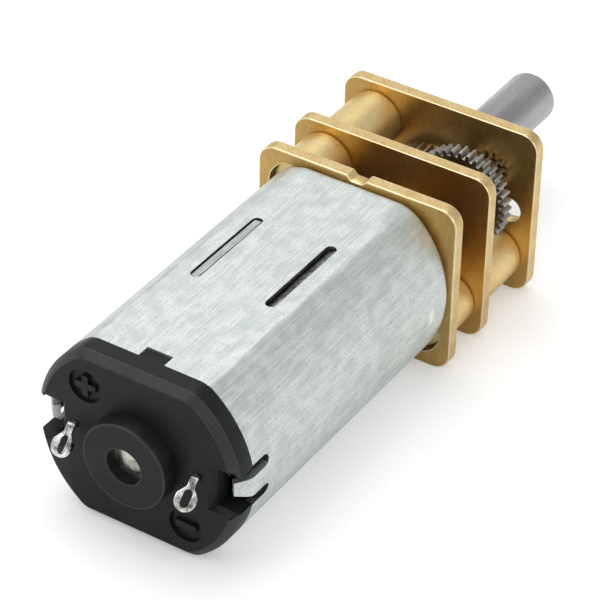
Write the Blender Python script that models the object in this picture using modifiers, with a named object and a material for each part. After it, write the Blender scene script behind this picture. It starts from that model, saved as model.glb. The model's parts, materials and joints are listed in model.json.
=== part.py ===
"""A small spur gearmotor: a flatted can motor, brass plates on posts, an open gear train and a D shaft.

Lengths are in millimetres. Every piece hangs on a datum empty, which turns millimetres into metres and
lays the shaft along +X. In the datum's own frame x is across (left, seen from behind), y is up and z runs
along the shaft, with zero on the motor axis at the rear face of the motor plate.
"""

import math

import bmesh
import bpy
from mathutils import Matrix, Vector

MILLIMETRE = 0.001

# Fits between pieces
SEAT_GAP = 0.02
RUNNING_GAP = 0.03
SCREW_GAP = 0.08
END_PLAY = 0.1
PASSING_GAP = 0.2

# Plates
PLATE_WIDTH = 12.0
PLATE_HEIGHT = 10.0
PLATE_CORNER = 1.0
PLATE_THICKNESS = 0.75
REAR_GAP = 2.65
FRONT_GAP = 4.25
NOTCH_WIDTH = 1.1
NOTCH_FLOOR = 0.7
NOTCH_DEPTH = 0.27
MOUNT_HOLE_SPACING = 9.0
MOUNT_HOLE_DIAMETER = 1.5

# Posts, spacers and screws
POST_INSET = 2.1
POST_DIAMETER = 3.2
TENON_DIAMETER = 2.8
TENON_SINK = 0.1
SCREW_DIAMETER = 1.5
SCREW_BITE = 1.9
SCREW_HEAD_DIAMETER = 2.5
SCREW_SLOT_WIDTH = 0.4
SCREW_SLOT_DEPTH = 0.3
MOTOR_SCREW_OFFSET = 3.2
MOTOR_SCREW_DIAMETER = 1.4
MOTOR_SCREW_HEAD_DIAMETER = 2.3
MOTOR_SCREW_REACH = 0.9

# Gears and the pins that carry them
MODULE = 0.15
PRESSURE_ANGLE = math.radians(20)
ADDENDUM_MODULES = 0.9
DEDENDUM_MODULES = 1.25
BACKLASH = 0.03
MOTOR_PINION_TEETH = 16
PINION_TEETH = 14
WHEEL_TEETH = 36
WHEEL_THICKNESS = 0.8
OUTPUT_GEAR_THICKNESS = 1.3
LEVEL_GAP = 0.15
OUTPUT_LEVEL_GAP = 0.55
MOTOR_PINION_STANDOFF = 0.35
MOTOR_PINION_LENGTH = 1.3
HUB_DIAMETER = 1.6
HUB_LENGTH = 0.5
PIN_DIAMETER = 0.8
PIN_SINK = 0.1
UPPER_PIN_ANGLE = math.radians(147)

# Output shaft
OUTPUT_DIAMETER = 3.0
OUTPUT_LENGTH = 10.0
OUTPUT_CHAMFER = 0.25
FLAT_LENGTH = 9.0
FLAT_DEPTH = 0.5
GEAR_SEAT_DIAMETER = 2.0
JOURNAL_DIAMETER = 1.0
BUSH_DIAMETER = 4.2
BUSH_STAND = 0.6
WASHER_DIAMETER = 4.4
WASHER_THICKNESS = 0.25

# Motor can
CAN_DIAMETER = 11.9
CAN_FLATS = 9.76
CAN_CORNER = 1.2
CAN_LENGTH = 18.3
CAN_WALL = 0.4
CAN_RIM = 0.7
SLIT_SPACING = 4.4
SLIT_LENGTH = 6.0
SLIT_WIDTH = 0.6
SLIT_FRONT = 5.6
TAB_WIDTH = 1.1
TAB_INWARD = 0.65
TAB_REACH = 0.8
RELIEF_WIDTH = 0.65
RELIEF_LENGTH = 1.3

# End cap
CAP_FLANGE = 1.35
CAP_CHAMFER = 0.4
CAP_BASE = 0.9
SPIGOT_LENGTH = 1.4
SPIGOT_WALL = 0.7
KEY_WIDTH = 1.45
KEY_LENGTH = 0.85
SIDE_NOTCH_HEIGHT = 2.2
SIDE_NOTCH_SPAN = 9.0
BOSS_DIAMETER = 4.8
BOSS_HEIGHT = 1.0
BOSS_ROUND = 0.12
BOSS_HOLE_DIAMETER = 2.0
BOSS_HOLE_DEPTH = 0.45
BEARING_HOUSING_WALL = 0.7
MARK_ACROSS = 2.88
MARK_RISE = 2.98
MARK_DIAMETER = 1.9
MARK_DEPTH = 0.2
MARK_BAR_LENGTH = 1.2
MARK_BAR_WIDTH = 0.34

# Terminals and brushes
TERMINAL_ACROSS = 3.6
TERMINAL_RISE = 0.45
TERMINAL_WIDTH = 1.0
TERMINAL_THICKNESS = 0.3
TERMINAL_NECK = 0.25
TERMINAL_NECK_WIDTH = 0.55
TERMINAL_NECK_LENGTH = 0.5
TERMINAL_REACH = 1.55
TERMINAL_INSIDE = 2.0
TERMINAL_SLOPE = math.radians(45)
EYELET_LENGTH = 0.9
EYELET_WIDTH = 0.4
EYELET_EDGE = 0.75
BRUSH_THICKNESS = 0.2
BRUSH_HEIGHT = 0.6

# Rotor, magnets and bearings
MOTOR_SHAFT_DIAMETER = 1.0
CORE_DIAMETER = 7.9
CORE_LENGTH = 8.4
CORE_FRONT = 4.9
CORE_HUB_DIAMETER = 2.8
POLE_COUNT = 3
POLE_ARM_WIDTH = 1.3
POLE_SHOE_THICKNESS = 0.65
POLE_SHOE_ANGLE = math.radians(104)
COIL_BUILD = 0.75
COIL_GAP = 0.13
COMMUTATOR_DIAMETER = 2.6
COMMUTATOR_LENGTH = 1.5
COMMUTATOR_STANDOFF = 1.6
COMMUTATOR_SLOT_DEPTH = 0.2
COMMUTATOR_SLOT_SHARE = 0.08
MAGNET_THICKNESS = 1.3
MAGNET_LENGTH = 10.6
MAGNET_ANGLE = math.radians(96)
FRONT_BEARING_DIAMETER = 3.2
FRONT_BEARING_FLANGE_DIAMETER = 4.0
FRONT_BEARING_FLANGE = 0.75
REAR_BEARING_DIAMETER = 3.0
REAR_BEARING_LENGTH = 1.7
REAR_BEARING_FLOOR = 0.3

# Facets
ROUND_SIDES = 28
SMALL_SIDES = 18
ARC_STEPS = 14
CORNER_STEPS = 4
SMALL_STEPS = 2
WELD = 0.0001
FLAT_ANGLE = math.radians(1)
SHARP_ANGLE = math.radians(30)
CLEAR = 1.0

# Places that follow from the sizes above
WHEEL_1_TEETH = PINION_TEETH + WHEEL_TEETH - MOTOR_PINION_TEETH
CENTRE_DISTANCE = MODULE * (PINION_TEETH + WHEEL_TEETH) / 2
UPPER_PIN = Vector((math.cos(UPPER_PIN_ANGLE), math.sin(UPPER_PIN_ANGLE))) * CENTRE_DISTANCE
LOWER_PIN = -UPPER_PIN
MAIN_AXIS = Vector((0.0, 0.0))
POST_PLACE = Vector((PLATE_WIDTH / 2 - POST_INSET, PLATE_HEIGHT / 2 - POST_INSET))
MID_PLATE_REAR = PLATE_THICKNESS + REAR_GAP
MID_PLATE_FRONT = MID_PLATE_REAR + PLATE_THICKNESS
FRONT_PLATE_REAR = MID_PLATE_FRONT + FRONT_GAP
FRONT_FACE = FRONT_PLATE_REAR + PLATE_THICKNESS
WHEEL_1_REAR = PLATE_THICKNESS + END_PLAY + HUB_LENGTH
WHEEL_2_REAR = MID_PLATE_FRONT + END_PLAY
WHEEL_2_FRONT = WHEEL_2_REAR + WHEEL_THICKNESS
WHEEL_3_REAR = WHEEL_2_FRONT + LEVEL_GAP
WHEEL_3_FRONT = WHEEL_3_REAR + WHEEL_THICKNESS
OUTPUT_GEAR_REAR = WHEEL_3_FRONT + OUTPUT_LEVEL_GAP
OUTPUT_GEAR_FRONT = OUTPUT_GEAR_REAR + OUTPUT_GEAR_THICKNESS
CAP_FRONT = -CAN_LENGTH
CAP_FACE = -(CAN_LENGTH + CAP_FLANGE)
BOSS_FACE = CAP_FACE - BOSS_HEIGHT
TERMINAL_TIP = CAP_FACE - TERMINAL_REACH
BEARING_FLOOR = BOSS_FACE + BOSS_HOLE_DEPTH
CORE_REAR = -(CORE_FRONT + CORE_LENGTH)
COMMUTATOR_FRONT = CORE_REAR - COMMUTATOR_STANDOFF
SHAFT_FRONT = PLATE_THICKNESS + MOTOR_PINION_STANDOFF + MOTOR_PINION_LENGTH + END_PLAY
OUTPUT_TIP = FRONT_FACE + OUTPUT_LENGTH


def clear_scene():
    """Removes whatever the scene holds."""
    for obj in list(bpy.data.objects):
        bpy.data.objects.remove(obj)


def collection(name):
    """A new collection under the scene's own."""
    made = bpy.data.collections.new(name)
    bpy.context.scene.collection.children.link(made)
    return made


def finish(name, colour, roughness, metallic):
    """A Principled material."""
    made = bpy.data.materials.new(name)
    made.use_nodes = True
    shader = made.node_tree.nodes["Principled BSDF"]
    shader.inputs["Base Color"].default_value = (*colour, 1.0)
    shader.inputs["Roughness"].default_value = roughness
    shader.inputs["Metallic"].default_value = metallic
    made.diffuse_color = (*colour, 1.0)
    return made


clear_scene()
PARTS = collection("gearmotor")
DATUM = bpy.data.objects.new("gearmotor_datum", None)
PARTS.objects.link(DATUM)
DATUM.rotation_euler = (math.pi / 2, 0, math.pi / 2)
DATUM.scale = (MILLIMETRE,) * 3
DATUM.location = (-(OUTPUT_TIP + TERMINAL_TIP) / 2 * MILLIMETRE, 0, PLATE_HEIGHT / 2 * MILLIMETRE)

BRASS = finish("brass_plate", (0.62, 0.45, 0.2), 0.35, 1.0)
ZINC = finish("plated_can", (0.6, 0.63, 0.6), 0.42, 1.0)
PLASTIC = finish("black_plastic", (0.02, 0.02, 0.022), 0.45, 0.0)
GEAR_STEEL = finish("gear_steel", (0.32, 0.31, 0.31), 0.4, 1.0)
GROUND_STEEL = finish("ground_steel", (0.5, 0.5, 0.51), 0.35, 1.0)
TINNED = finish("tinned_terminal", (0.75, 0.74, 0.72), 0.25, 1.0)
SCREW_STEEL = finish("screw_steel", (0.55, 0.54, 0.52), 0.35, 1.0)
BRONZE = finish("bearing_bronze", (0.5, 0.36, 0.2), 0.45, 1.0)
FERRITE = finish("ferrite", (0.06, 0.06, 0.065), 0.7, 0.0)
LAMINATION = finish("lamination_steel", (0.35, 0.35, 0.36), 0.5, 1.0)
COPPER = finish("copper_wire", (0.6, 0.28, 0.14), 0.35, 1.0)
NYLON = finish("nylon", (0.75, 0.74, 0.7), 0.5, 0.0)


def baked(guide):
    """The mesh that a guide object evaluates to, welded and facing out. The guide is removed."""
    bpy.context.scene.collection.objects.link(guide)
    graph = bpy.context.evaluated_depsgraph_get()
    mesh = bpy.data.meshes.new_from_object(guide.evaluated_get(graph))
    bpy.data.objects.remove(guide)
    shape = bmesh.new()
    shape.from_mesh(mesh)
    bmesh.ops.remove_doubles(shape, verts=shape.verts, dist=WELD)
    bmesh.ops.recalc_face_normals(shape, faces=shape.faces)
    shape.to_mesh(mesh)
    shape.free()
    return mesh


def extruded(outlines, low, high):
    """A flat outline, whose further outlines are holes, extruded from low to high along z."""
    curve = bpy.data.curves.new("outline", "CURVE")
    curve.dimensions = "2D"
    curve.fill_mode = "BOTH"
    curve.extrude = (high - low) / 2
    for points in outlines:
        spline = curve.splines.new("POLY")
        spline.points.add(len(points) - 1)
        for point, (x, y) in zip(spline.points, points):
            point.co = (x, y, 0, 1)
        spline.use_cyclic_u = True
    mesh = baked(bpy.data.objects.new("outline", curve))
    return moved(mesh, (0, 0, (low + high) / 2))


def turned(profile, sides=ROUND_SIDES):
    """A profile of (radius, z) points turned about z. One that doesn't start on the axis is a closed loop."""
    mesh = bpy.data.meshes.new("profile")
    edges = [(i, i + 1) for i in range(len(profile) - 1)]
    if profile[0][0] > 0:
        edges.append((len(profile) - 1, 0))
    mesh.from_pydata([(radius, 0, z) for radius, z in profile], edges, [])
    guide = bpy.data.objects.new("profile", mesh)
    screw = guide.modifiers.new("turn", "SCREW")
    screw.steps = sides
    screw.render_steps = sides
    screw.use_merge_vertices = True
    screw.merge_threshold = WELD
    return baked(guide)


def box(low, high):
    """A box between two corners."""
    shape = bmesh.new()
    bmesh.ops.create_cube(shape, size=1.0)
    low = Vector(low)
    high = Vector(high)
    bmesh.ops.scale(shape, vec=high - low, verts=shape.verts)
    bmesh.ops.translate(shape, vec=(low + high) / 2, verts=shape.verts)
    mesh = bpy.data.meshes.new("box")
    shape.to_mesh(mesh)
    shape.free()
    return mesh


def moved(mesh, offset):
    """The mesh, shifted."""
    mesh.transform(Matrix.Translation(offset))
    return mesh


def stood_up(mesh):
    """The mesh with its outline laid in the x-z plane, so that its extrusion runs along -y."""
    mesh.transform(Matrix.Rotation(math.pi / 2, 4, "X"))
    return mesh


def stood_sideways(mesh):
    """The mesh with its outline laid in the z-y plane, so that its extrusion runs along -x."""
    mesh.transform(Matrix.Rotation(-math.pi / 2, 4, "Y"))
    return mesh


def rounded(mesh, width, steps, chosen):
    """The mesh with its chosen edges rounded, after each flat side is made one face."""
    shape = bmesh.new()
    shape.from_mesh(mesh)
    bmesh.ops.dissolve_limit(shape, angle_limit=FLAT_ANGLE, verts=shape.verts, edges=shape.edges)
    edges = [edge for edge in shape.edges if chosen(*(vert.co for vert in edge.verts))]
    bmesh.ops.bevel(shape, geom=edges, offset=width, segments=steps, profile=0.5, affect="EDGES")
    shape.to_mesh(mesh)
    shape.free()
    return mesh


def rim_rounded(mesh, level, width, steps=CORNER_STEPS):
    """The mesh with the edge of its end face at this level rounded."""
    return rounded(mesh, width, steps, lambda a, b: abs(a.z - level) < WELD and abs(b.z - level) < WELD)


def piece(name, mesh, material, axis=MAIN_AXIS):
    """A named part on the datum, with its origin on its own axis."""
    mesh.name = name
    mesh.materials.clear()
    mesh.materials.append(material)
    mesh.shade_smooth()
    mesh.set_sharp_from_angle(angle=SHARP_ANGLE)
    made = bpy.data.objects.new(name, mesh)
    PARTS.objects.link(made)
    made.parent = DATUM
    made.location = (*axis, 0)
    return made


def shaped(mesh, operation, tools):
    """The mesh after each tool is cut from it or joined to it in turn. The tools are used up."""
    for tool in tools:
        helper = bpy.data.objects.new("tool", tool)
        bpy.context.scene.collection.objects.link(helper)
        blank = bpy.data.objects.new("blank", mesh)
        boolean = blank.modifiers.new(operation.lower(), "BOOLEAN")
        boolean.operation = operation
        boolean.solver = "EXACT"
        boolean.object = helper
        blank.modifiers.new("simple_faces", "TRIANGULATE")
        mesh = baked(blank)
        bpy.data.objects.remove(helper)
    return mesh


def cut(mesh, *tools):
    """The mesh with tools cut from it."""
    return shaped(mesh, "DIFFERENCE", tools)


def joined(mesh, *tools):
    """The mesh with tools joined to it."""
    return shaped(mesh, "UNION", tools)


def arc(radius, start, end, steps, centre=MAIN_AXIS):
    """Points along an arc, both ends included."""
    angles = [start + (end - start) * step / steps for step in range(steps + 1)]
    return [(centre[0] + radius * math.cos(a), centre[1] + radius * math.sin(a)) for a in angles]


def circle(diameter, centre=MAIN_AXIS, sides=SMALL_SIDES):
    """The points of a full circle."""
    return arc(diameter / 2, 0, 2 * math.pi, sides, centre)[:-1]


def rectangle(width, height, centre=MAIN_AXIS):
    """The four corners of a rectangle."""
    corners = ((1, 1), (-1, 1), (-1, -1), (1, -1))
    return [(centre[0] + sx * width / 2, centre[1] + sy * height / 2) for sx, sy in corners]


def rounded_rectangle(width, height, corner):
    """A rectangle with round corners, from the top of its right side round to the left."""
    points = []
    for index, (sx, sy) in enumerate(((1, 1), (-1, 1), (-1, -1), (1, -1))):
        centre = (sx * (width / 2 - corner), sy * (height / 2 - corner))
        start = index * math.pi / 2
        points += arc(corner, start, start + math.pi / 2, CORNER_STEPS, centre)
    return points


def stadium(length, width, centre=MAIN_AXIS):
    """A slot with round ends, its length along the first axis."""
    reach = (length - width) / 2
    right = arc(width / 2, -math.pi / 2, math.pi / 2, CORNER_STEPS, (centre[0] + reach, centre[1]))
    left = arc(width / 2, math.pi / 2, 3 * math.pi / 2, CORNER_STEPS, (centre[0] - reach, centre[1]))
    return right + left


def strip(path, thickness):
    """The outline of a bent strip of even thickness about a path of points."""
    path = [Vector(point) for point in path]
    sides = []
    for index, point in enumerate(path):
        before = (point - path[index - 1]).normalized() if index else None
        after = (path[index + 1] - point).normalized() if index + 1 < len(path) else None
        before = before or after
        after = after or before
        along = (before + after).normalized()
        across = Vector((-along.y, along.x)) * thickness / 2 / along.dot(before)
        sides.append((point + across, point - across))
    return [left for left, _ in sides] + [right for _, right in reversed(sides)]


def can_outline(inset=0.0, flats=CAN_FLATS):
    """The can's round-sided section between two level flats, with soft corners, moved in by an inset."""
    radius = CAN_DIAMETER / 2 - inset
    rise = flats / 2 - inset - CAN_CORNER
    across = math.sqrt((radius - CAN_CORNER) ** 2 - rise**2)
    bend = math.atan2(rise, across)
    side = arc(CAN_CORNER, -math.pi / 2, -bend, SMALL_STEPS, (across, -rise))
    side += arc(radius, -bend, bend, ARC_STEPS)[1:-1]
    side += arc(CAN_CORNER, bend, math.pi / 2, SMALL_STEPS, (across, rise))
    return side + [(-x, -y) for x, y in side]


def involute(angle):
    """The involute function."""
    return math.tan(angle) - angle


def gear_outline(teeth, phase):
    """Involute teeth, each drawn at its root, pitch and tip radius, the first tooth at the phase angle."""
    pitch_radius = MODULE * teeth / 2
    base_radius = pitch_radius * math.cos(PRESSURE_ANGLE)
    root = pitch_radius - DEDENDUM_MODULES * MODULE
    tip = pitch_radius + ADDENDUM_MODULES * MODULE
    half_tooth = (math.pi * MODULE - BACKLASH) / 4 / pitch_radius
    flank = []
    for radius in (root, pitch_radius, tip):
        slope = math.acos(min(1.0, base_radius / radius))
        flank.append((radius, half_tooth + involute(PRESSURE_ANGLE) - involute(slope)))
    points = []
    for tooth in range(teeth):
        middle = phase + 2 * math.pi * tooth / teeth
        points += [(r * math.cos(middle - a), r * math.sin(middle - a)) for r, a in flank]
        points += [(r * math.cos(middle + a), r * math.sin(middle + a)) for r, a in reversed(flank)]
    return points


def mesh_phase(driver_teeth, driver_phase, follower_teeth, direction):
    """The phase that puts a follower's teeth between its driver's, for the direction of its axis."""
    offset = (driver_phase - direction) * driver_teeth / (2 * math.pi)
    return direction + math.pi + (0.5 - offset) * 2 * math.pi / follower_teeth


def compound_gear(name, axis, bore, wheel, wheel_span, pinion_front, hub_rear=None):
    """A wheel with a smaller pinion before it, and a plain hub behind it where one is asked for."""
    teeth, phase = wheel
    inside = sum(wheel_span) / 2
    gear = extruded([gear_outline(teeth, phase)], *wheel_span)
    gear = joined(gear, extruded([gear_outline(PINION_TEETH, 0.0)], inside, pinion_front))
    if hub_rear is not None:
        gear = joined(gear, extruded([circle(HUB_DIAMETER)], hub_rear, inside))
    gear = cut(gear, extruded([circle(bore)], -CLEAR, pinion_front + CLEAR))
    return piece(name, gear, GEAR_STEEL, axis)


def plate(rear, outline, holes):
    """The mesh of a flat plate of the common thickness."""
    return extruded([outline] + holes, rear, rear + PLATE_THICKNESS)


def plates():
    """The motor plate, the mid plate and the front plate."""
    outline = rounded_rectangle(PLATE_WIDTH, PLATE_HEIGHT, PLATE_CORNER)
    top = PLATE_HEIGHT / 2
    notch = [
        (NOTCH_WIDTH / 2, top),
        (NOTCH_FLOOR / 2, top - NOTCH_DEPTH),
        (-NOTCH_FLOOR / 2, top - NOTCH_DEPTH),
        (-NOTCH_WIDTH / 2, top),
    ]
    notched = outline[: CORNER_STEPS + 1] + notch + outline[CORNER_STEPS + 1 :]
    pin_hole = PIN_DIAMETER + 2 * SEAT_GAP
    screw_hole = SCREW_DIAMETER + 2 * SCREW_GAP
    tenons = [circle(TENON_DIAMETER + 2 * SEAT_GAP, side * POST_PLACE, ROUND_SIDES) for side in (1, -1)]
    screws = [circle(screw_hole, side * POST_PLACE) for side in (1, -1)]
    bearing_hole = circle(FRONT_BEARING_DIAMETER + 2 * SEAT_GAP, sides=ROUND_SIDES)
    motor_plate = plate(0.0, notched, [bearing_hole, circle(pin_hole, LOWER_PIN)] + tenons)
    seats = [moved(motor_screw(SEAT_GAP), (0, side * MOTOR_SCREW_OFFSET, 0)) for side in (1, -1)]
    piece("motor_plate", cut(motor_plate, *seats), BRASS)
    pinion_hole = MODULE * (PINION_TEETH + 2 * ADDENDUM_MODULES) + 2 * PASSING_GAP
    journal_hole = circle(JOURNAL_DIAMETER + 2 * RUNNING_GAP)
    passing = [circle(pinion_hole, LOWER_PIN, ROUND_SIDES), circle(pin_hole, UPPER_PIN)]
    piece("mid_plate", plate(MID_PLATE_REAR, outline, [journal_hole] + passing + screws), BRASS)
    bush_hole = circle(BUSH_DIAMETER + 2 * SEAT_GAP, sides=ROUND_SIDES)
    pins = [circle(pin_hole, LOWER_PIN), circle(pin_hole, UPPER_PIN)]
    mounts = [circle(MOUNT_HOLE_DIAMETER, (side * MOUNT_HOLE_SPACING / 2, 0)) for side in (1, -1)]
    front_plate = plate(FRONT_PLATE_REAR, outline, [bush_hole] + pins + mounts)
    seats = [moved(assembly_screw(SCREW_GAP), (*side * POST_PLACE, 0)) for side in (1, -1)]
    piece("front_plate", cut(front_plate, *seats), BRASS)


def countersunk(head_diameter, diameter, top, tip, growth):
    """A countersunk screw with a driver slot, or the seat for it where it is grown."""
    head = head_diameter / 2 + growth
    shank = diameter / 2 + growth
    neck = top - (head_diameter - diameter) / 2
    end = [(shank, neck), (shank, tip), (0, tip)]
    if growth:
        return turned([(0, top + CLEAR), (head, top + CLEAR), (head, top)] + end, SMALL_SIDES)
    screw = turned([(0, top), (head, top)] + end, SMALL_SIDES)
    half_width = SCREW_SLOT_WIDTH / 2
    low = (-head_diameter, -half_width, top - SCREW_SLOT_DEPTH)
    return cut(screw, box(low, (head_diameter, half_width, top + CLEAR)))


def motor_screw(growth=0.0):
    """A screw that holds the can to the motor plate."""
    top = PLATE_THICKNESS - SEAT_GAP
    tip = -(CAN_WALL + MOTOR_SCREW_REACH)
    return countersunk(MOTOR_SCREW_HEAD_DIAMETER, MOTOR_SCREW_DIAMETER, top, tip, growth)


def assembly_screw(growth=0.0):
    """A long screw from the front plate through a spacer into a rear post."""
    tip = MID_PLATE_REAR - SCREW_BITE
    return countersunk(SCREW_HEAD_DIAMETER, SCREW_DIAMETER, FRONT_FACE - SEAT_GAP, tip, growth)


def posts_and_screws():
    """Rear posts riveted in the motor plate, front spacers, and the screws that draw the plates together."""
    post = POST_DIAMETER / 2
    tenon = TENON_DIAMETER / 2
    tapped = SCREW_DIAMETER / 2 + SEAT_GAP
    bore = SCREW_DIAMETER / 2 + SCREW_GAP
    post_rear = PLATE_THICKNESS + SEAT_GAP
    post_front = MID_PLATE_REAR - SEAT_GAP
    hole_floor = MID_PLATE_REAR - SCREW_BITE - END_PLAY
    for side, name in ((1, "upper"), (-1, "lower")):
        place = side * POST_PLACE
        body = [(0, hole_floor), (tapped, hole_floor), (tapped, post_front), (post, post_front)]
        foot = [(post, post_rear), (tenon, post_rear), (tenon, TENON_SINK), (0, TENON_SINK)]
        piece(f"rear_post_{name}", turned(body + foot), BRASS, place)
        low = MID_PLATE_FRONT + SEAT_GAP
        high = FRONT_PLATE_REAR - SEAT_GAP
        tube = [(post, high), (post, low), (bore, low), (bore, high)]
        piece(f"front_spacer_{name}", turned(tube), BRASS, place)
        piece(f"assembly_screw_{name}", assembly_screw(), SCREW_STEEL, place)
        piece(f"motor_screw_{name}", motor_screw(), SCREW_STEEL, (0, side * MOTOR_SCREW_OFFSET))


def gear_train():
    """The motor pinion, three compound gears, the output gear, and the pins and sleeve that carry them."""
    lower = math.atan2(LOWER_PIN.y, LOWER_PIN.x)
    upper = UPPER_PIN_ANGLE
    phase_1 = mesh_phase(MOTOR_PINION_TEETH, 0.0, WHEEL_1_TEETH, lower)
    phase_2 = mesh_phase(PINION_TEETH, 0.0, WHEEL_TEETH, lower + math.pi)
    phase_3 = mesh_phase(PINION_TEETH, 0.0, WHEEL_TEETH, upper)
    phase_4 = mesh_phase(PINION_TEETH, 0.0, WHEEL_TEETH, upper + math.pi)
    pin_bore = PIN_DIAMETER + 2 * RUNNING_GAP
    journal_bore = JOURNAL_DIAMETER + 2 * RUNNING_GAP
    pinion_rear = PLATE_THICKNESS + MOTOR_PINION_STANDOFF
    shaft_hole = circle(MOTOR_SHAFT_DIAMETER + 2 * SEAT_GAP)
    teeth = [gear_outline(MOTOR_PINION_TEETH, 0.0), shaft_hole]
    piece("motor_pinion", extruded(teeth, pinion_rear, pinion_rear + MOTOR_PINION_LENGTH), BRASS)
    wheel_1 = (WHEEL_1_TEETH, phase_1)
    span_1 = (WHEEL_1_REAR, WHEEL_1_REAR + WHEEL_THICKNESS)
    hub_1 = PLATE_THICKNESS + END_PLAY
    compound_gear("compound_gear_1", LOWER_PIN, pin_bore, wheel_1, span_1, WHEEL_2_FRONT, hub_1)
    wheel_2 = (WHEEL_TEETH, phase_2)
    span_2 = (WHEEL_2_REAR, WHEEL_2_FRONT)
    pinion_2 = WHEEL_3_FRONT + END_PLAY
    compound_gear("compound_gear_2", MAIN_AXIS, journal_bore, wheel_2, span_2, pinion_2)
    wheel_3 = (WHEEL_TEETH, phase_3)
    span_3 = (WHEEL_3_REAR, WHEEL_3_FRONT)
    pinion_3 = FRONT_PLATE_REAR - END_PLAY
    hub_3 = MID_PLATE_FRONT + END_PLAY
    compound_gear("compound_gear_3", UPPER_PIN, pin_bore, wheel_3, span_3, pinion_3, hub_3)
    seat_hole = circle(GEAR_SEAT_DIAMETER + 2 * SEAT_GAP, sides=ROUND_SIDES)
    output = [gear_outline(WHEEL_TEETH, phase_4), seat_hole]
    piece("output_gear", extruded(output, OUTPUT_GEAR_REAR, OUTPUT_GEAR_FRONT), GEAR_STEEL)
    pin_front = FRONT_FACE - PIN_SINK
    for name, axis, rear in (("lower", LOWER_PIN, 0.0), ("upper", UPPER_PIN, MID_PLATE_REAR)):
        pin = extruded([circle(PIN_DIAMETER)], rear + PIN_SINK, pin_front)
        piece(f"gear_pin_{name}", pin, GROUND_STEEL, axis)
    sleeve = [circle(HUB_DIAMETER), circle(PIN_DIAMETER + 2 * SEAT_GAP)]
    sleeve_span = (WHEEL_2_FRONT + END_PLAY, FRONT_PLATE_REAR - SEAT_GAP)
    piece("pin_sleeve", extruded(sleeve, *sleeve_span), BRASS, LOWER_PIN)


def output_shaft():
    """The stepped shaft with its flat, the bush that carries it in the front plate, and a thrust washer."""
    radius = OUTPUT_DIAMETER / 2
    seat = GEAR_SEAT_DIAMETER / 2
    journal = JOURNAL_DIAMETER / 2
    shoulder = OUTPUT_GEAR_FRONT + SEAT_GAP
    seat_rear = WHEEL_3_FRONT + 2 * END_PLAY + SEAT_GAP
    tip = [(0, OUTPUT_TIP), (radius - OUTPUT_CHAMFER, OUTPUT_TIP), (radius, OUTPUT_TIP - OUTPUT_CHAMFER)]
    steps = [(radius, shoulder), (seat, shoulder), (seat, seat_rear), (journal, seat_rear)]
    end = [(journal, MID_PLATE_REAR + PIN_SINK), (0, MID_PLATE_REAR + PIN_SINK)]
    flat_low = (-OUTPUT_DIAMETER, -OUTPUT_DIAMETER, OUTPUT_TIP - FLAT_LENGTH)
    flat = box(flat_low, (OUTPUT_DIAMETER, FLAT_DEPTH - radius, OUTPUT_TIP + CLEAR))
    piece("output_shaft", cut(turned(tip + steps + end), flat), GROUND_STEEL)
    bore = OUTPUT_DIAMETER + 2 * RUNNING_GAP
    bush = [circle(BUSH_DIAMETER, sides=ROUND_SIDES), circle(bore, sides=ROUND_SIDES)]
    piece("output_bush", extruded(bush, FRONT_PLATE_REAR, FRONT_FACE + BUSH_STAND), BRASS)
    washer = [circle(WASHER_DIAMETER, sides=ROUND_SIDES), circle(bore, sides=ROUND_SIDES)]
    washer_front = FRONT_PLATE_REAR - SEAT_GAP
    piece("thrust_washer", extruded(washer, washer_front - WASHER_THICKNESS, washer_front), NYLON)


def motor_can():
    """The drawn can, with its lanced slits, key notch, and side tabs bent in over the end cap."""
    front = -SEAT_GAP
    inner_front = front - CAN_WALL
    rear = -CAN_LENGTH
    reach = CAN_DIAMETER
    can = rim_rounded(extruded([can_outline()], rear, front), front, CAN_RIM)
    hollow = extruded([can_outline(CAN_WALL)], rear - CLEAR, inner_front)
    bearing_hole = circle(FRONT_BEARING_DIAMETER + 2 * SEAT_GAP, sides=ROUND_SIDES)
    tools = [rim_rounded(hollow, inner_front, CAN_RIM - CAN_WALL, SMALL_STEPS)]
    tools.append(extruded([bearing_hole], inner_front - CLEAR, CLEAR))
    screw_hole = MOTOR_SCREW_DIAMETER + 2 * SEAT_GAP
    for side in (1, -1):
        tapped = circle(screw_hole, (0, side * MOTOR_SCREW_OFFSET))
        tools.append(extruded([tapped], inner_front - CLEAR, CLEAR))
        slit_middle = (-(SLIT_FRONT + SLIT_LENGTH / 2), side * SLIT_SPACING / 2)
        slit = [(x, z) for z, x in stadium(SLIT_LENGTH, SLIT_WIDTH, slit_middle)]
        tools.append(stood_up(extruded([slit], -reach, reach)))
        near = side * TAB_WIDTH / 2
        far = side * (TAB_WIDTH / 2 + RELIEF_WIDTH)
        relief_low = (-reach, min(near, far), rear - CLEAR)
        tools.append(box(relief_low, (reach, max(near, far), rear + RELIEF_LENGTH)))
    half_key = KEY_WIDTH / 2 + SEAT_GAP
    key_floor = CAN_FLATS / 2 - CAN_WALL - CLEAR / 2
    tools.append(box((-half_key, key_floor, rear - CLEAR), (half_key, reach, rear + KEY_LENGTH)))
    middle = CAN_DIAMETER / 2 - CAN_WALL / 2 - SEAT_GAP
    half_tab = TAB_WIDTH / 2 - SEAT_GAP
    thickness = CAN_WALL - 3 * SEAT_GAP
    path = [(middle, rear + CAN_WALL), (middle, rear - SEAT_GAP), (middle - TAB_INWARD, rear - TAB_REACH)]
    tabs = []
    for side in (1, -1):
        bent = strip([(side * x, z) for x, z in path], thickness)
        tabs.append(stood_up(extruded([bent], -half_tab, half_tab)))
    piece("motor_can", joined(cut(can, *tools), *tabs), ZINC)


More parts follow.
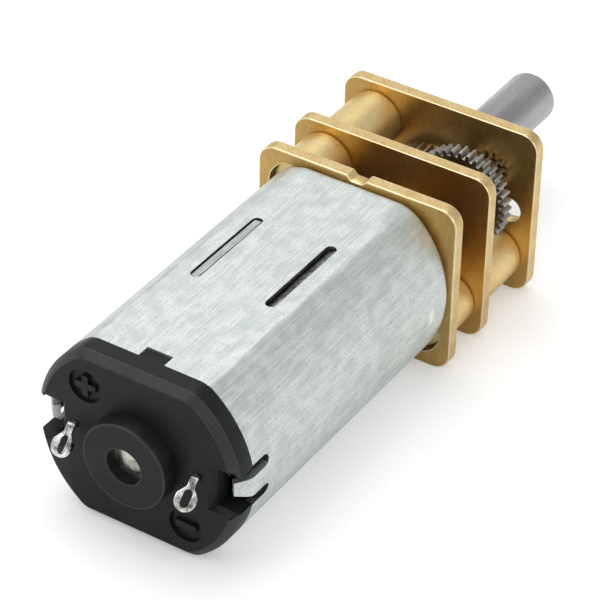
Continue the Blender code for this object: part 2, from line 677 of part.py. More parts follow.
def end_cap():
    """The moulded cap: flange, spigot, key, side notches, boss, polarity marks and terminal slots."""
    flange = extruded([can_outline(flats=PLATE_HEIGHT)], CAP_FACE, CAP_FRONT - SEAT_GAP)
    flange = rim_rounded(flange, CAP_FACE, CAP_CHAMFER, 1)
    middle = CAP_FRONT - CAP_FLANGE / 2
    spigot_inset = CAN_WALL + SEAT_GAP
    spigot = extruded([can_outline(spigot_inset)], middle, CAP_FRONT + SPIGOT_LENGTH)
    key_top = CAN_FLATS / 2
    key_low = (-KEY_WIDTH / 2, key_top - CAN_WALL - SPIGOT_WALL / 2, middle)
    key = box(key_low, (KEY_WIDTH / 2, key_top, CAP_FRONT + KEY_LENGTH - SEAT_GAP))
    floor = CAP_FACE + CAP_BASE
    hollow = extruded([can_outline(spigot_inset + SPIGOT_WALL)], floor, CAP_FRONT + SPIGOT_LENGTH + CLEAR)
    inside = CAP_FACE + CAP_BASE / 2
    boss = extruded([circle(BOSS_DIAMETER, sides=ROUND_SIDES)], BOSS_FACE, inside)
    boss = rim_rounded(boss, BOSS_FACE, BOSS_ROUND, SMALL_STEPS)
    bearing_front = BEARING_FLOOR + SEAT_GAP + REAR_BEARING_LENGTH
    housing = circle(REAR_BEARING_DIAMETER + 2 * BEARING_HOUSING_WALL, sides=ROUND_SIDES)
    housing = extruded([housing], inside, bearing_front)
    pocket = circle(REAR_BEARING_DIAMETER + 2 * SEAT_GAP, sides=ROUND_SIDES)
    pocket = extruded([pocket], BEARING_FLOOR, bearing_front + CLEAR)
    boss_hole = circle(BOSS_HOLE_DIAMETER, sides=ROUND_SIDES)
    boss_hole = extruded([boss_hole], BOSS_FACE - CLEAR, BEARING_FLOOR + CLEAR / 2)
    bar = MARK_BAR_LENGTH / 2
    half = MARK_BAR_WIDTH / 2
    quarter = [(bar, -half), (bar, half), (half, half)]
    plus = [(x * c - y * s, x * s + y * c) for c, s in ((1, 0), (0, 1), (-1, 0), (0, -1)) for x, y in quarter]
    minus = rectangle(MARK_BAR_LENGTH, MARK_BAR_WIDTH)
    tools = [pocket, boss_hole]
    for side, mark in ((1, plus), (-1, minus)):
        recess = extruded([circle(MARK_DIAMETER), mark], CAP_FACE - CLEAR / 2, CAP_FACE + MARK_DEPTH)
        tools.append(moved(recess, (side * MARK_ACROSS, side * MARK_RISE, 0)))
        near = side * SIDE_NOTCH_SPAN / 2
        far = side * CAN_DIAMETER
        notch_low = (min(near, far), -SIDE_NOTCH_HEIGHT / 2, CAP_FACE - CLEAR)
        tools.append(box(notch_low, (max(near, far), SIDE_NOTCH_HEIGHT / 2, CAP_FRONT + CAN_WALL)))
        across = side * TERMINAL_ACROSS
        half_width = TERMINAL_WIDTH / 2 + SEAT_GAP
        half_height = TERMINAL_THICKNESS / 2 + SEAT_GAP
        slot_low = (across - half_width, TERMINAL_RISE - half_height, CAP_FACE - CLEAR)
        tools.append(box(slot_low, (across + half_width, TERMINAL_RISE + half_height, floor + CLEAR / 2)))
    shell = cut(joined(flange, spigot, key), hollow)
    piece("end_cap", cut(joined(shell, boss, housing), *tools), PLASTIC)


def terminal(name, across):
    """A tinned tab that leaves the cap level, then slopes down to an eyelet."""
    back = -math.cos(TERMINAL_SLOPE)
    down = -math.sin(TERMINAL_SLOPE)
    tip_z = TERMINAL_TIP - down * TERMINAL_THICKNESS / 2
    bend_z = CAP_FACE - TERMINAL_NECK
    length = (tip_z - bend_z) / back
    tip = Vector((tip_z, TERMINAL_RISE + down * length))
    path = [(CAP_FACE + TERMINAL_INSIDE, TERMINAL_RISE), (bend_z, TERMINAL_RISE), tip]
    tab = extruded([strip(path, TERMINAL_THICKNESS)], -TERMINAL_WIDTH / 2, TERMINAL_WIDTH / 2)
    stood_sideways(tab)
    corner = Vector((tip.y, tip.x))

    def across_tip(a, b):
        near = max((a.yz - corner).length, (b.yz - corner).length)
        return near < TERMINAL_THICKNESS and abs(a.x - b.x) < WELD

    rounded(tab, TERMINAL_WIDTH / 2 - SEAT_GAP, CORNER_STEPS, across_tip)
    along = Vector((0, down, back))
    normal = Vector((1, 0, 0)).cross(along)
    eyelet = extruded([stadium(EYELET_LENGTH, EYELET_WIDTH)], -CLEAR, CLEAR)
    turn = Matrix((along, -Vector((1, 0, 0)), normal)).transposed().to_4x4()
    eyelet.transform(turn)
    moved(eyelet, Vector((0, tip.y, tip.x)) - along * EYELET_EDGE)
    sides = []
    for side in (1, -1):
        near = side * TERMINAL_NECK_WIDTH / 2
        far = side * TERMINAL_WIDTH
        low = (min(near, far), -CLEAR, CAP_FACE - TERMINAL_NECK_LENGTH)
        sides.append(box(low, (max(near, far), CLEAR, CAP_FACE)))
    piece(name, moved(cut(tab, eyelet, *sides), (across, 0, 0)), TINNED)


def brush(name, side):
    """A copper leaf from a terminal's inner end to the commutator."""
    contact = COMMUTATOR_DIAMETER / 2 + RUNNING_GAP + BRUSH_THICKNESS / 2
    rest_front = COMMUTATOR_FRONT - COMMUTATOR_LENGTH / 4
    rest_rear = COMMUTATOR_FRONT - COMMUTATOR_LENGTH
    root = CAP_FACE + CAP_BASE + END_PLAY
    bend = CAP_FACE + TERMINAL_INSIDE
    path = [(TERMINAL_ACROSS, root), (TERMINAL_ACROSS, bend), (contact, rest_rear), (contact, rest_front)]
    top = TERMINAL_RISE - TERMINAL_THICKNESS / 2 - SEAT_GAP
    leaf = extruded([strip([(side * x, z) for x, z in path], BRUSH_THICKNESS)], -top, BRUSH_HEIGHT - top)
    piece(name, stood_up(leaf), COPPER)


def armature_outline():
    """Poles with curved shoes round a hub."""
    hub = CORE_HUB_DIAMETER / 2
    outer = CORE_DIAMETER / 2
    inner = outer - POLE_SHOE_THICKNESS
    half_arm = POLE_ARM_WIDTH / 2
    half_shoe = POLE_SHOE_ANGLE / 2
    hub_angle = math.asin(half_arm / hub)
    neck_angle = math.asin(half_arm / inner)
    step = 2 * math.pi / POLE_COUNT
    points = []
    for pole in range(POLE_COUNT):
        middle = pole * step
        points += arc(inner, middle - neck_angle, middle - half_shoe, CORNER_STEPS)
        points += arc(outer, middle - half_shoe, middle + half_shoe, ARC_STEPS)
        points += arc(inner, middle + half_shoe, middle + neck_angle, CORNER_STEPS)
        points += arc(hub, middle + hub_angle, middle + step - hub_angle, CORNER_STEPS)
    return points


def rotor():
    """The motor shaft, the laminated core with its coils, and the commutator."""
    shaft_rear = BEARING_FLOOR + SEAT_GAP + REAR_BEARING_FLOOR + END_PLAY
    shaft = extruded([circle(MOTOR_SHAFT_DIAMETER)], shaft_rear, SHAFT_FRONT)
    piece("motor_shaft", shaft, GROUND_STEEL)
    bore = circle(MOTOR_SHAFT_DIAMETER + 2 * SEAT_GAP)
    piece("armature_core", extruded([armature_outline(), bore], CORE_REAR, -CORE_FRONT), LAMINATION)
    arm = POLE_ARM_WIDTH + 2 * SEAT_GAP
    stack = CORE_LENGTH + 2 * SEAT_GAP
    loop = [
        rounded_rectangle(arm + 2 * COIL_BUILD, stack + 2 * COIL_BUILD, COIL_BUILD),
        rectangle(arm, stack),
    ]
    coil_inner = CORE_HUB_DIAMETER / 2 + COIL_GAP
    shoe_inner = CORE_DIAMETER / 2 - POLE_SHOE_THICKNESS
    coil_outer = math.sqrt(shoe_inner**2 - (arm / 2 + COIL_BUILD) ** 2) - COIL_GAP
    for pole in range(POLE_COUNT):
        coil = extruded(loop, coil_inner, coil_outer)
        angle = 2 * math.pi * pole / POLE_COUNT
        radial = Vector((math.cos(angle), math.sin(angle), 0))
        axial = Vector((0, 0, 1))
        turn = Matrix((axial.cross(radial), axial, radial)).transposed()
        coil.transform(Matrix.Translation((0, 0, (CORE_REAR - CORE_FRONT) / 2)) @ turn.to_4x4())
        piece(f"armature_coil_{pole + 1}", coil, COPPER)
    radius = COMMUTATOR_DIAMETER / 2
    segment = 2 * math.pi / POLE_COUNT
    gap = segment * COMMUTATOR_SLOT_SHARE
    bars = []
    for pole in range(POLE_COUNT):
        start = pole * segment
        bars += arc(radius, start + gap, start + segment, CORNER_STEPS)
        bars += arc(radius - COMMUTATOR_SLOT_DEPTH, start + segment, start + segment + gap, 1)
    span = (COMMUTATOR_FRONT - COMMUTATOR_LENGTH, COMMUTATOR_FRONT)
    piece("commutator", extruded([bars, bore], *span), COPPER)


def magnets_and_bearings():
    """The two field magnets in the can, and the bearings at both ends of the motor shaft."""
    outer = CAN_DIAMETER / 2 - CAN_WALL - RUNNING_GAP
    inner = outer - MAGNET_THICKNESS
    core_middle = (CORE_REAR - CORE_FRONT) / 2
    span = (core_middle - MAGNET_LENGTH / 2, core_middle + MAGNET_LENGTH / 2)
    half = MAGNET_ANGLE / 2
    for name, middle in (("left", 0.0), ("right", math.pi)):
        outline = arc(outer, middle - half, middle + half, ARC_STEPS)
        outline += arc(inner, middle + half, middle - half, ARC_STEPS)
        piece(f"magnet_{name}", extruded([outline], *span), FERRITE)
    bore = MOTOR_SHAFT_DIAMETER / 2 + RUNNING_GAP
    flange = FRONT_BEARING_FLANGE_DIAMETER / 2
    body = FRONT_BEARING_DIAMETER / 2
    seat = -(CAN_WALL + 2 * SEAT_GAP)
    nose = PLATE_THICKNESS - END_PLAY
    rear = seat - FRONT_BEARING_FLANGE
    profile = [(body, nose), (body, seat), (flange, seat), (flange, rear), (bore, rear), (bore, nose)]
    piece("motor_front_bearing", turned(profile), BRONZE)
    low = BEARING_FLOOR + SEAT_GAP
    high = low + REAR_BEARING_LENGTH
    floor = low + REAR_BEARING_FLOOR
    body = REAR_BEARING_DIAMETER / 2
    cup = [(0, low), (body, low), (body, high), (bore, high), (bore, floor), (0, floor)]
    piece("motor_rear_bearing", turned(cup), BRONZE)


def main():
    """Builds the gearmotor."""
    plates()
    posts_and_screws()
    gear_train()
    output_shaft()
    motor_can()
    end_cap()
    for name, side in (("left", 1), ("right", -1)):
        terminal(f"terminal_{name}", side * TERMINAL_ACROSS)
        brush(f"brush_{name}", side)
    rotor()
    magnets_and_bearings()


main()
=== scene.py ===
"""Looks of a small spur gearmotor: plated can, black end cap, brass plates on posts, steel gears, D shaft.

Lengths are in millimetres until a piece is finished. x runs along the shaft from the rear face of the motor
plate, y is to the left seen from behind, and z is up from the motor's axis.
"""

import json
import logging
from dataclasses import dataclass
from enum import Enum, IntEnum
from math import acos, asin, atan2, copysign, cos, pi, radians, sin, sqrt, tan
from typing import Dict, List, Optional, Sequence, Tuple, Union

import bmesh
import bpy
from mathutils import Matrix, Vector

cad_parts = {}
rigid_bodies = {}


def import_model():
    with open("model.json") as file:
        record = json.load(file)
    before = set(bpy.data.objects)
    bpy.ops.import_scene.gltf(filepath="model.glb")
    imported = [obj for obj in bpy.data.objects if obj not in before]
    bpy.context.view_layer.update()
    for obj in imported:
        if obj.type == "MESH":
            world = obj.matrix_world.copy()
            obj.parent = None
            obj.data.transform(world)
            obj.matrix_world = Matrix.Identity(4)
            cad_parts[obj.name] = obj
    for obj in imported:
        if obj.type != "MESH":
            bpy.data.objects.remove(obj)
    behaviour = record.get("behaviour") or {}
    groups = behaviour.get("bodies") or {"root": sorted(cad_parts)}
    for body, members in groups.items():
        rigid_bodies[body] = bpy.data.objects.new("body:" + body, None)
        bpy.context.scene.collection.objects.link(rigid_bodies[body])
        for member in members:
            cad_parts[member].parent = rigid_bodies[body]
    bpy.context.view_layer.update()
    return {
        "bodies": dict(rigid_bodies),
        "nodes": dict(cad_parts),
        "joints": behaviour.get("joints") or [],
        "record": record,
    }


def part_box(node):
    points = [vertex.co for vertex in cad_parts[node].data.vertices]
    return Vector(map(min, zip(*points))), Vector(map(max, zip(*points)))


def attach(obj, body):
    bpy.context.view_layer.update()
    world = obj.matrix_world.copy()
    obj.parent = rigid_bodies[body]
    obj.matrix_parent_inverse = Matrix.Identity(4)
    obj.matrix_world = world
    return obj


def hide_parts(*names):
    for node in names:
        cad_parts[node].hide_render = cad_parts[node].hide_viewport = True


LOG = logging.getLogger("gearmotor")
MILLIMETRE = 0.001
# Vertices nearer than this, in millimetres, count as one
WELD = 0.0005
SHARP_ANGLE = radians(32)
# The layer and the value by which the weighted normals know a strong face
FACE_STRENGTH = "__mod_weightednormals_faceweight"
STRONG = 16384
# Square millimetres from which the faces of a plane are strong
WIDE_PLANE = 2.0
# Where the noise of pits and of the drift between two colours starts and ends
PIT_EDGES = (0.58, 0.72)
DRIFT_EDGES = (0.36, 0.64)
PIT_ROUGHNESS = 0.15
BUMP_DEPTH = 0.02
# Rows of a chamfer with soft edges, as shares of its width inward and outward
CHAMFER = ((0.06, 0.2), (0.76, 0.74), (0.18, 0.06))
# The sides of the gearbox's diagonal
DIAGONAL = ((1, "upper"), (-1, "lower"))
ORIGIN = (0.0, 0.0)

Point = Tuple[float, float]
Loop = List[Point]
Profile = Tuple[Point, ...]
Colour = Tuple[float, float, float]
Spot = Tuple[float, float, float]
Face = bmesh.types.BMFace
Edge = bmesh.types.BMEdge
Vert = bmesh.types.BMVert


class Grain(Enum):
    """How a finish's fine marks run, as the share of the pattern's scale on each axis."""

    EVEN = (1.0, 1.0, 1.0)
    ALONG = (0.05, 1.0, 1.0)
    UPRIGHT = (1.0, 1.0, 0.08)


class PlateSlot(IntEnum):
    """The material slots of a brass plate."""

    # The faces take a brass darkened with painted shade
    FACE = 0
    EDGE = 1
    # The rims take a paler brass as a painted highlight
    HIGHLIGHT_RIM = 2


class CanSlot(IntEnum):
    """The material slots of the can."""

    SKIN = 0
    # Near-black walls of the slits and reliefs: painted shade
    CUT = 1
    # The right tongue, painted dark as shade
    SHADED_RIGHT_TONGUE = 2
    # The painted highlight in the stake mark
    STAKE_HIGHLIGHT = 3
    # The left tongue, painted darker than the can as shade
    SHADED_LEFT_TONGUE = 4


class CapSlot(IntEnum):
    """The material slots of the end cap."""

    BODY = 0
    # The chamfer and the boss's edge take a lighter plastic as a painted highlight
    HIGHLIGHT_RIM = 1


class Signal:
    """A shader value that takes part in plain arithmetic."""

    def __init__(self, graph: "Graph", socket: bpy.types.NodeSocket) -> None:
        """Keeps the graph and the socket that carries the value."""
        self.graph = graph
        self.socket = socket

    def _math(self, operation: str, first: "Value", second: "Value") -> "Signal":
        """One Math node on two values."""
        return self.graph.node("ShaderNodeMath", {"operation": operation}, {0: first, 1: second})

    def __add__(self, other: "Value") -> "Signal":
        """The sum."""
        return self._math("ADD", self, other)

    def __sub__(self, other: "Value") -> "Signal":
        """The difference."""
        return self._math("SUBTRACT", self, other)

    def __rsub__(self, other: "Value") -> "Signal":
        """The difference from a number."""
        return self._math("SUBTRACT", other, self)

    def __mul__(self, other: "Value") -> "Signal":
        """The product."""
        return self._math("MULTIPLY", self, other)

    __radd__ = __add__
    __rmul__ = __mul__

    def eased(self, low: float, high: float) -> "Signal":
        """The value eased from 0 at low to 1 at high.

        Args:
            low: the value that becomes 0.
            high: the value that becomes 1.

        Returns:
            The eased value.
        """
        settings = {"interpolation_type": "SMOOTHSTEP"}
        return self.graph.node("ShaderNodeMapRange", settings, {"Value": self, 1: low, 2: high})


Value = Union[Signal, float]


class Graph:
    """The node tree of one material or world."""

    def __init__(self, tree: bpy.types.NodeTree) -> None:
        """Starts from an empty tree."""
        self.tree = tree
        tree.nodes.clear()

    def node(
        self,
        kind: str,
        settings: Optional[Dict[str, object]] = None,
        inputs: Optional[Dict[Union[int, str], object]] = None,
        output: Union[int, str] = 0,
    ) -> Optional[Signal]:
        """Adds a node.

        Args:
            kind: the node's type.
            settings: its properties, set before its sockets.
            inputs: values or signals for its sockets, by name or number.
            output: the socket to return.

        Returns:
            The signal of that output, or None for a node that has no outputs.
        """
        made = self.tree.nodes.new(kind)
        for name, value in (settings or {}).items():
            setattr(made, name, value)
        for name, value in (inputs or {}).items():
            if isinstance(value, Signal):
                self.tree.links.new(value.socket, made.inputs[name])
            else:
                made.inputs[name].default_value = value
        return Signal(self, made.outputs[output]) if made.outputs else None

    def mix(self, factor: Value, first: object, second: object) -> Signal:
        """A colour between two colours."""
        return self.node("ShaderNodeMix", {"data_type": "RGBA"}, {0: factor, 6: first, 7: second}, 2)

    def noise(self, grain: Grain, per_mm: float, detail: float = 2.0) -> Signal:
        """Noise on the piece's own coordinates.

        Args:
            grain: which way the marks run.
            per_mm: how many marks there are in a millimetre across the grain.
            detail: how many finer levels are added.

        Returns:
            A value about 0.5.
        """
        place = self.node("ShaderNodeTexCoord", output="Object")
        scale = [share * per_mm / MILLIMETRE for share in grain.value]
        spot = self.node("ShaderNodeMapping", {}, {"Vector": place, "Scale": scale})
        return self.node("ShaderNodeTexNoise", {}, {"Vector": spot, "Scale": 1.0, "Detail": detail})


def rgba(colour: Sequence[float]) -> Tuple[float, ...]:
    """A colour with full alpha."""
    return (*colour, 1.0)


@dataclass(frozen=True)
class Finish:
    """A surface finish: a base colour that drifts to a second one, with fine marks and small pits."""

    name: str
    colour: Colour
    second: Colour
    metallic: float
    roughness: float
    spread: float = 0.08
    grain: Grain = Grain.EVEN
    per_mm: float = 9.0
    cloud_per_mm: float = 0.35
    marks: float = 0.5
    pits: float = 0.0
    pit_shade: float = 0.35
    bump: float = 0.15
    specular: float = 0.5

    def material(self) -> bpy.types.Material:
        """The finish as a material, made once.

        Returns:
            The material.
        """
        kept = bpy.data.materials.get(self.name)
        if kept:
            return kept
        made = bpy.data.materials.new(self.name)
        made.use_nodes = True
        graph = Graph(made.node_tree)
        marks = graph.noise(self.grain, self.per_mm, detail=3.0)
        cloud = graph.noise(Grain.EVEN, self.cloud_per_mm, detail=3.0)
        pits = graph.noise(Grain.EVEN, self.per_mm).eased(*PIT_EDGES) * self.pits
        drift = marks * self.marks + cloud * (1 - self.marks)
        colour = graph.mix(drift.eased(*DRIFT_EDGES), rgba(self.colour), rgba(self.second))
        colour = graph.mix(pits, colour, rgba([self.pit_shade * part for part in self.colour]))
        rough = (marks - 0.5) * (2 * self.spread) + (pits * PIT_ROUGHNESS + self.roughness)
        bump = {"Strength": self.bump, "Distance": BUMP_DEPTH * MILLIMETRE, "Height": marks - pits}
        shader = {
            "Base Color": colour,
            "Roughness": rough,
            "Metallic": self.metallic,
            "Specular IOR Level": self.specular,
            "Normal": graph.node("ShaderNodeBump", {}, bump),
        }
        surface = graph.node("ShaderNodeBsdfPrincipled", {}, shader)
        graph.node("ShaderNodeOutputMaterial", {}, {"Surface": surface})
        return made


# The plate faces' brass is darker than the edges' brass: painted shade for faces that stand in shade
SHADED_BRASS_FACE = Finish(
    "satin_brass_face_painted_shade", colour=(0.55, 0.34, 0.113), second=(0.68, 0.45, 0.175), metallic=1.0,
    roughness=0.36, spread=0.06, grain=Grain.UPRIGHT, per_mm=14.0, cloud_per_mm=0.3, marks=0.45, pits=0.15,
    pit_shade=0.6, bump=0.1,
)
BRASS_EDGE = Finish(
    "cut_brass_edge", colour=(0.70, 0.48, 0.20), second=(0.91, 0.72, 0.38), metallic=1.0, roughness=0.38,
    spread=0.1, per_mm=7.0, cloud_per_mm=0.8, marks=0.6, pits=0.6, pit_shade=0.5, bump=0.4,
)
# Pale brass for the plates' rounded rims: a painted highlight along the edges that catch the light
BRASS_RIM_HIGHLIGHT = Finish(
    "brass_rim_painted_highlight", colour=(0.92, 0.76, 0.42), second=(0.99, 0.88, 0.58), metallic=1.0, roughness=0.24,
    spread=0.06, per_mm=5.0, cloud_per_mm=0.8, marks=0.6, pits=0.2, pit_shade=0.7, bump=0.2,
)
BRASS_TURNED = Finish(
    "turned_brass", colour=(0.88, 0.66, 0.30), second=(0.98, 0.80, 0.42), metallic=1.0, roughness=0.40,
    spread=0.06, per_mm=8.0, cloud_per_mm=0.5, pits=0.1, pit_shade=0.6, bump=0.12,
)
ZINC = Finish(
    "zinc_plated_can", colour=(0.60, 0.65, 0.625), second=(0.79, 0.83, 0.805), metallic=0.85,
    roughness=0.46, spread=0.1, grain=Grain.ALONG, cloud_per_mm=1.1, marks=0.55, pits=0.8, pit_shade=0.75,
    bump=0.35,
)
# Near black for the walls of the slits and side reliefs and for the tongues' ends: painted shade in narrow
# openings, not the colour of the steel
SLIT_SHADE = Finish(
    "slit_walls_painted_shade", colour=(0.07, 0.07, 0.068), second=(0.26, 0.26, 0.25), metallic=0.9,
    roughness=0.42, spread=0.1, grain=Grain.ALONG, per_mm=8.0, cloud_per_mm=1.2, marks=0.6, pits=0.5,
    pit_shade=0.3, bump=0.4,
)
# Zinc darkened for the left tongue: painted shade where the strip sinks below the can's skin
SHADED_LEFT_TONGUE = Finish(
    "left_tongue_painted_shade", colour=(0.40, 0.43, 0.415), second=(0.66, 0.69, 0.67), metallic=0.85, roughness=0.44,
    spread=0.1, grain=Grain.ALONG, per_mm=8.0, cloud_per_mm=1.0, marks=0.6, pits=0.6, pit_shade=0.6,
    bump=0.4,
)
# Near black for the right tongue: painted shade on the strip that slopes away into its slit
SHADED_RIGHT_TONGUE = Finish(
    "right_tongue_painted_shade", colour=(0.06, 0.06, 0.058), second=(0.46, 0.46, 0.44), metallic=0.9, roughness=0.40,
    spread=0.1, per_mm=3.5, cloud_per_mm=1.0, marks=0.6, pits=0.5, pit_shade=0.3, bump=0.5,
)
# Near white on the rear wall of the stake mark: a painted highlight
STAKE_HIGHLIGHT = Finish(
    "stake_mark_painted_highlight", colour=(0.92, 0.92, 0.91), second=(0.98, 0.98, 0.97), metallic=0.4, roughness=0.3,
    spread=0.06, per_mm=4.0, cloud_per_mm=1.0, pit_shade=0.6, bump=0.2,
)
# Plastic lighter than the body on the flange's chamfer and the boss's edge: a painted highlight
PLASTIC_RIM_HIGHLIGHT = Finish(
    "plastic_rim_painted_highlight", colour=(0.020, 0.0205, 0.022), second=(0.034, 0.0345, 0.036), metallic=0.0,
    roughness=0.40, per_mm=10.0, cloud_per_mm=0.8, marks=0.6, pits=0.2, pit_shade=0.5, bump=0.3,
    specular=0.36,
)
PLASTIC = Finish(
    "black_moulded_plastic", colour=(0.008, 0.0085, 0.010), second=(0.013, 0.0135, 0.0155), metallic=0.0,
    roughness=0.42, spread=0.06, per_mm=12.0, cloud_per_mm=0.5, marks=0.4, pit_shade=0.5, bump=0.12,
    specular=0.22,
)
GEAR_STEEL = Finish(
    "hobbed_gear_steel", colour=(0.33, 0.32, 0.30), second=(0.50, 0.485, 0.46), metallic=1.0,
    roughness=0.34, cloud_per_mm=0.8, pits=0.2, pit_shade=0.5,
)
SHAFT_STEEL = Finish(
    "ground_shaft_steel", colour=(0.42, 0.42, 0.425), second=(0.50, 0.50, 0.505), metallic=1.0,
    roughness=0.24, spread=0.05, grain=Grain.ALONG, per_mm=6.0, cloud_per_mm=0.4, marks=0.4, pits=0.1,
    pit_shade=0.8, bump=0.06,
)
# Bright tin with dark grey patches: the patches are painted reflections of the black cap
TIN_WITH_REFLECTIONS = Finish(
    "bright_tin_painted_reflections", colour=(0.16, 0.155, 0.145), second=(0.97, 0.96, 0.93), metallic=1.0, roughness=0.15,
    per_mm=2.6, cloud_per_mm=1.3, pit_shade=0.5, bump=0.5,
)
SCREW_STEEL = Finish(
    "zinc_screw", colour=(0.46, 0.46, 0.44), second=(0.58, 0.58, 0.55), metallic=1.0, roughness=0.34,
    spread=0.06,
)
SINTERED = Finish(
    "sintered_bearing", colour=(0.26, 0.255, 0.24), second=(0.74, 0.72, 0.67), metallic=1.0,
    roughness=0.34, spread=0.1, per_mm=4.0, cloud_per_mm=1.2, pits=0.5, pit_shade=0.5, bump=0.3,
)
FERRITE = Finish(
    "sintered_ferrite", colour=(0.05, 0.05, 0.054), second=(0.08, 0.08, 0.085), metallic=0.0,
    roughness=0.7,
)
LAMINATION = Finish(
    "lamination_steel", colour=(0.28, 0.28, 0.29), second=(0.40, 0.40, 0.41), metallic=1.0, roughness=0.45,
    spread=0.1, per_mm=6.0,
)
COPPER = Finish(
    "enamelled_copper", colour=(0.50, 0.20, 0.09), second=(0.66, 0.30, 0.14), metallic=1.0, roughness=0.32,
    spread=0.06, grain=Grain.ALONG, per_mm=7.0, cloud_per_mm=0.6, marks=0.7, pit_shade=0.5, bump=0.4,
)
NYLON = Finish(
    "natural_nylon", colour=(0.70, 0.69, 0.64), second=(0.78, 0.77, 0.72), metallic=0.0, roughness=0.5,
    spread=0.06,
)


def arc(radius: float, start: float, end: float, steps: int, centre: Point = ORIGIN) -> Loop:
    """Points along an arc, both ends included.

    Args:
        radius: its radius.
        start: the first angle, in radians.
        end: the last angle.
        steps: how many chords it has.
        centre: its centre.

    Returns:
        The points.
    """
    angles = [start + (end - start) * step / steps for step in range(steps + 1)]
    return [(centre[0] + radius * cos(a), centre[1] + radius * sin(a)) for a in angles]


def circle(diameter: float, centre: Point = ORIGIN, sides: int = 40) -> Loop:
    """The points of a full circle."""
    return arc(diameter / 2, 0.0, 2 * pi, sides, centre)[:-1]


def rectangle(width: float, height: float, corner: float, centre: Point = ORIGIN, steps: int = 8) -> Loop:
    """A rectangle with round corners.

    Args:
        width: its size on the first axis.
        height: its size on the second axis.
        corner: the radius of its corners.
        centre: its centre.
        steps: chords in each corner.

    Returns:
        The points, from the first quarter round.
    """
    points = []
    for turn, (sx, sy) in enumerate(((1, 1), (-1, 1), (-1, -1), (1, -1))):
        middle = (centre[0] + sx * (width / 2 - corner), centre[1] + sy * (height / 2 - corner))
        points += arc(corner, turn * pi / 2, (turn + 1) * pi / 2, steps, middle)
    return points


def barrel(radius: float, flats: float, corner: float, stops: Sequence[float] = (), steps: int = 40) -> Loop:
    """A section with round sides between two level flats.

    Args:
        radius: the radius of the sides.
        flats: the distance between the flats.
        corner: the radius where a side meets a flat.
        stops: heights at which the sides need a point.
        steps: chords in each side.

    Returns:
        The points, from the lower end of the first side.
    """
    rise = flats / 2 - corner
    across = sqrt((radius - corner) ** 2 - rise**2)
    bend = atan2(rise, across)
    fixed = [asin(stop / radius) for stop in stops]
    spread = [bend * (2 * step / steps - 1) for step in range(1, steps)]
    side = arc(corner, -pi / 2, -bend, 8, (across, -rise))
    side += [(radius * cos(turn), radius * sin(turn)) for turn in sorted(spread + fixed)]
    side += arc(corner, bend, pi / 2, 8, (across, rise))
    return side + [(-y, -z) for y, z in side]


def moved(loop: Loop, centre: Point) -> Loop:
    """A loop about another centre."""
    return [(y + centre[0], z + centre[1]) for y, z in loop]


def opposite(spot: Point, side: int) -> Point:
    """A place for side 1, or the place opposite it across the motor's axis for side -1."""
    return (side * spot[0], side * spot[1])


def faces_of(result: Dict[str, list]) -> List[Face]:
    """The faces that an operator returned."""
    return [item for item in result["geom"] if isinstance(item, Face)]


def verts_of(result: Dict[str, list]) -> List[Vert]:
    """The vertices that an operator returned."""
    return [item for item in result["geom"] if isinstance(item, Vert)]


def edges_of(result: Dict[str, list]) -> List[Edge]:
    """The edges that an operator returned."""
    return [item for item in result["geom"] if isinstance(item, Edge)]


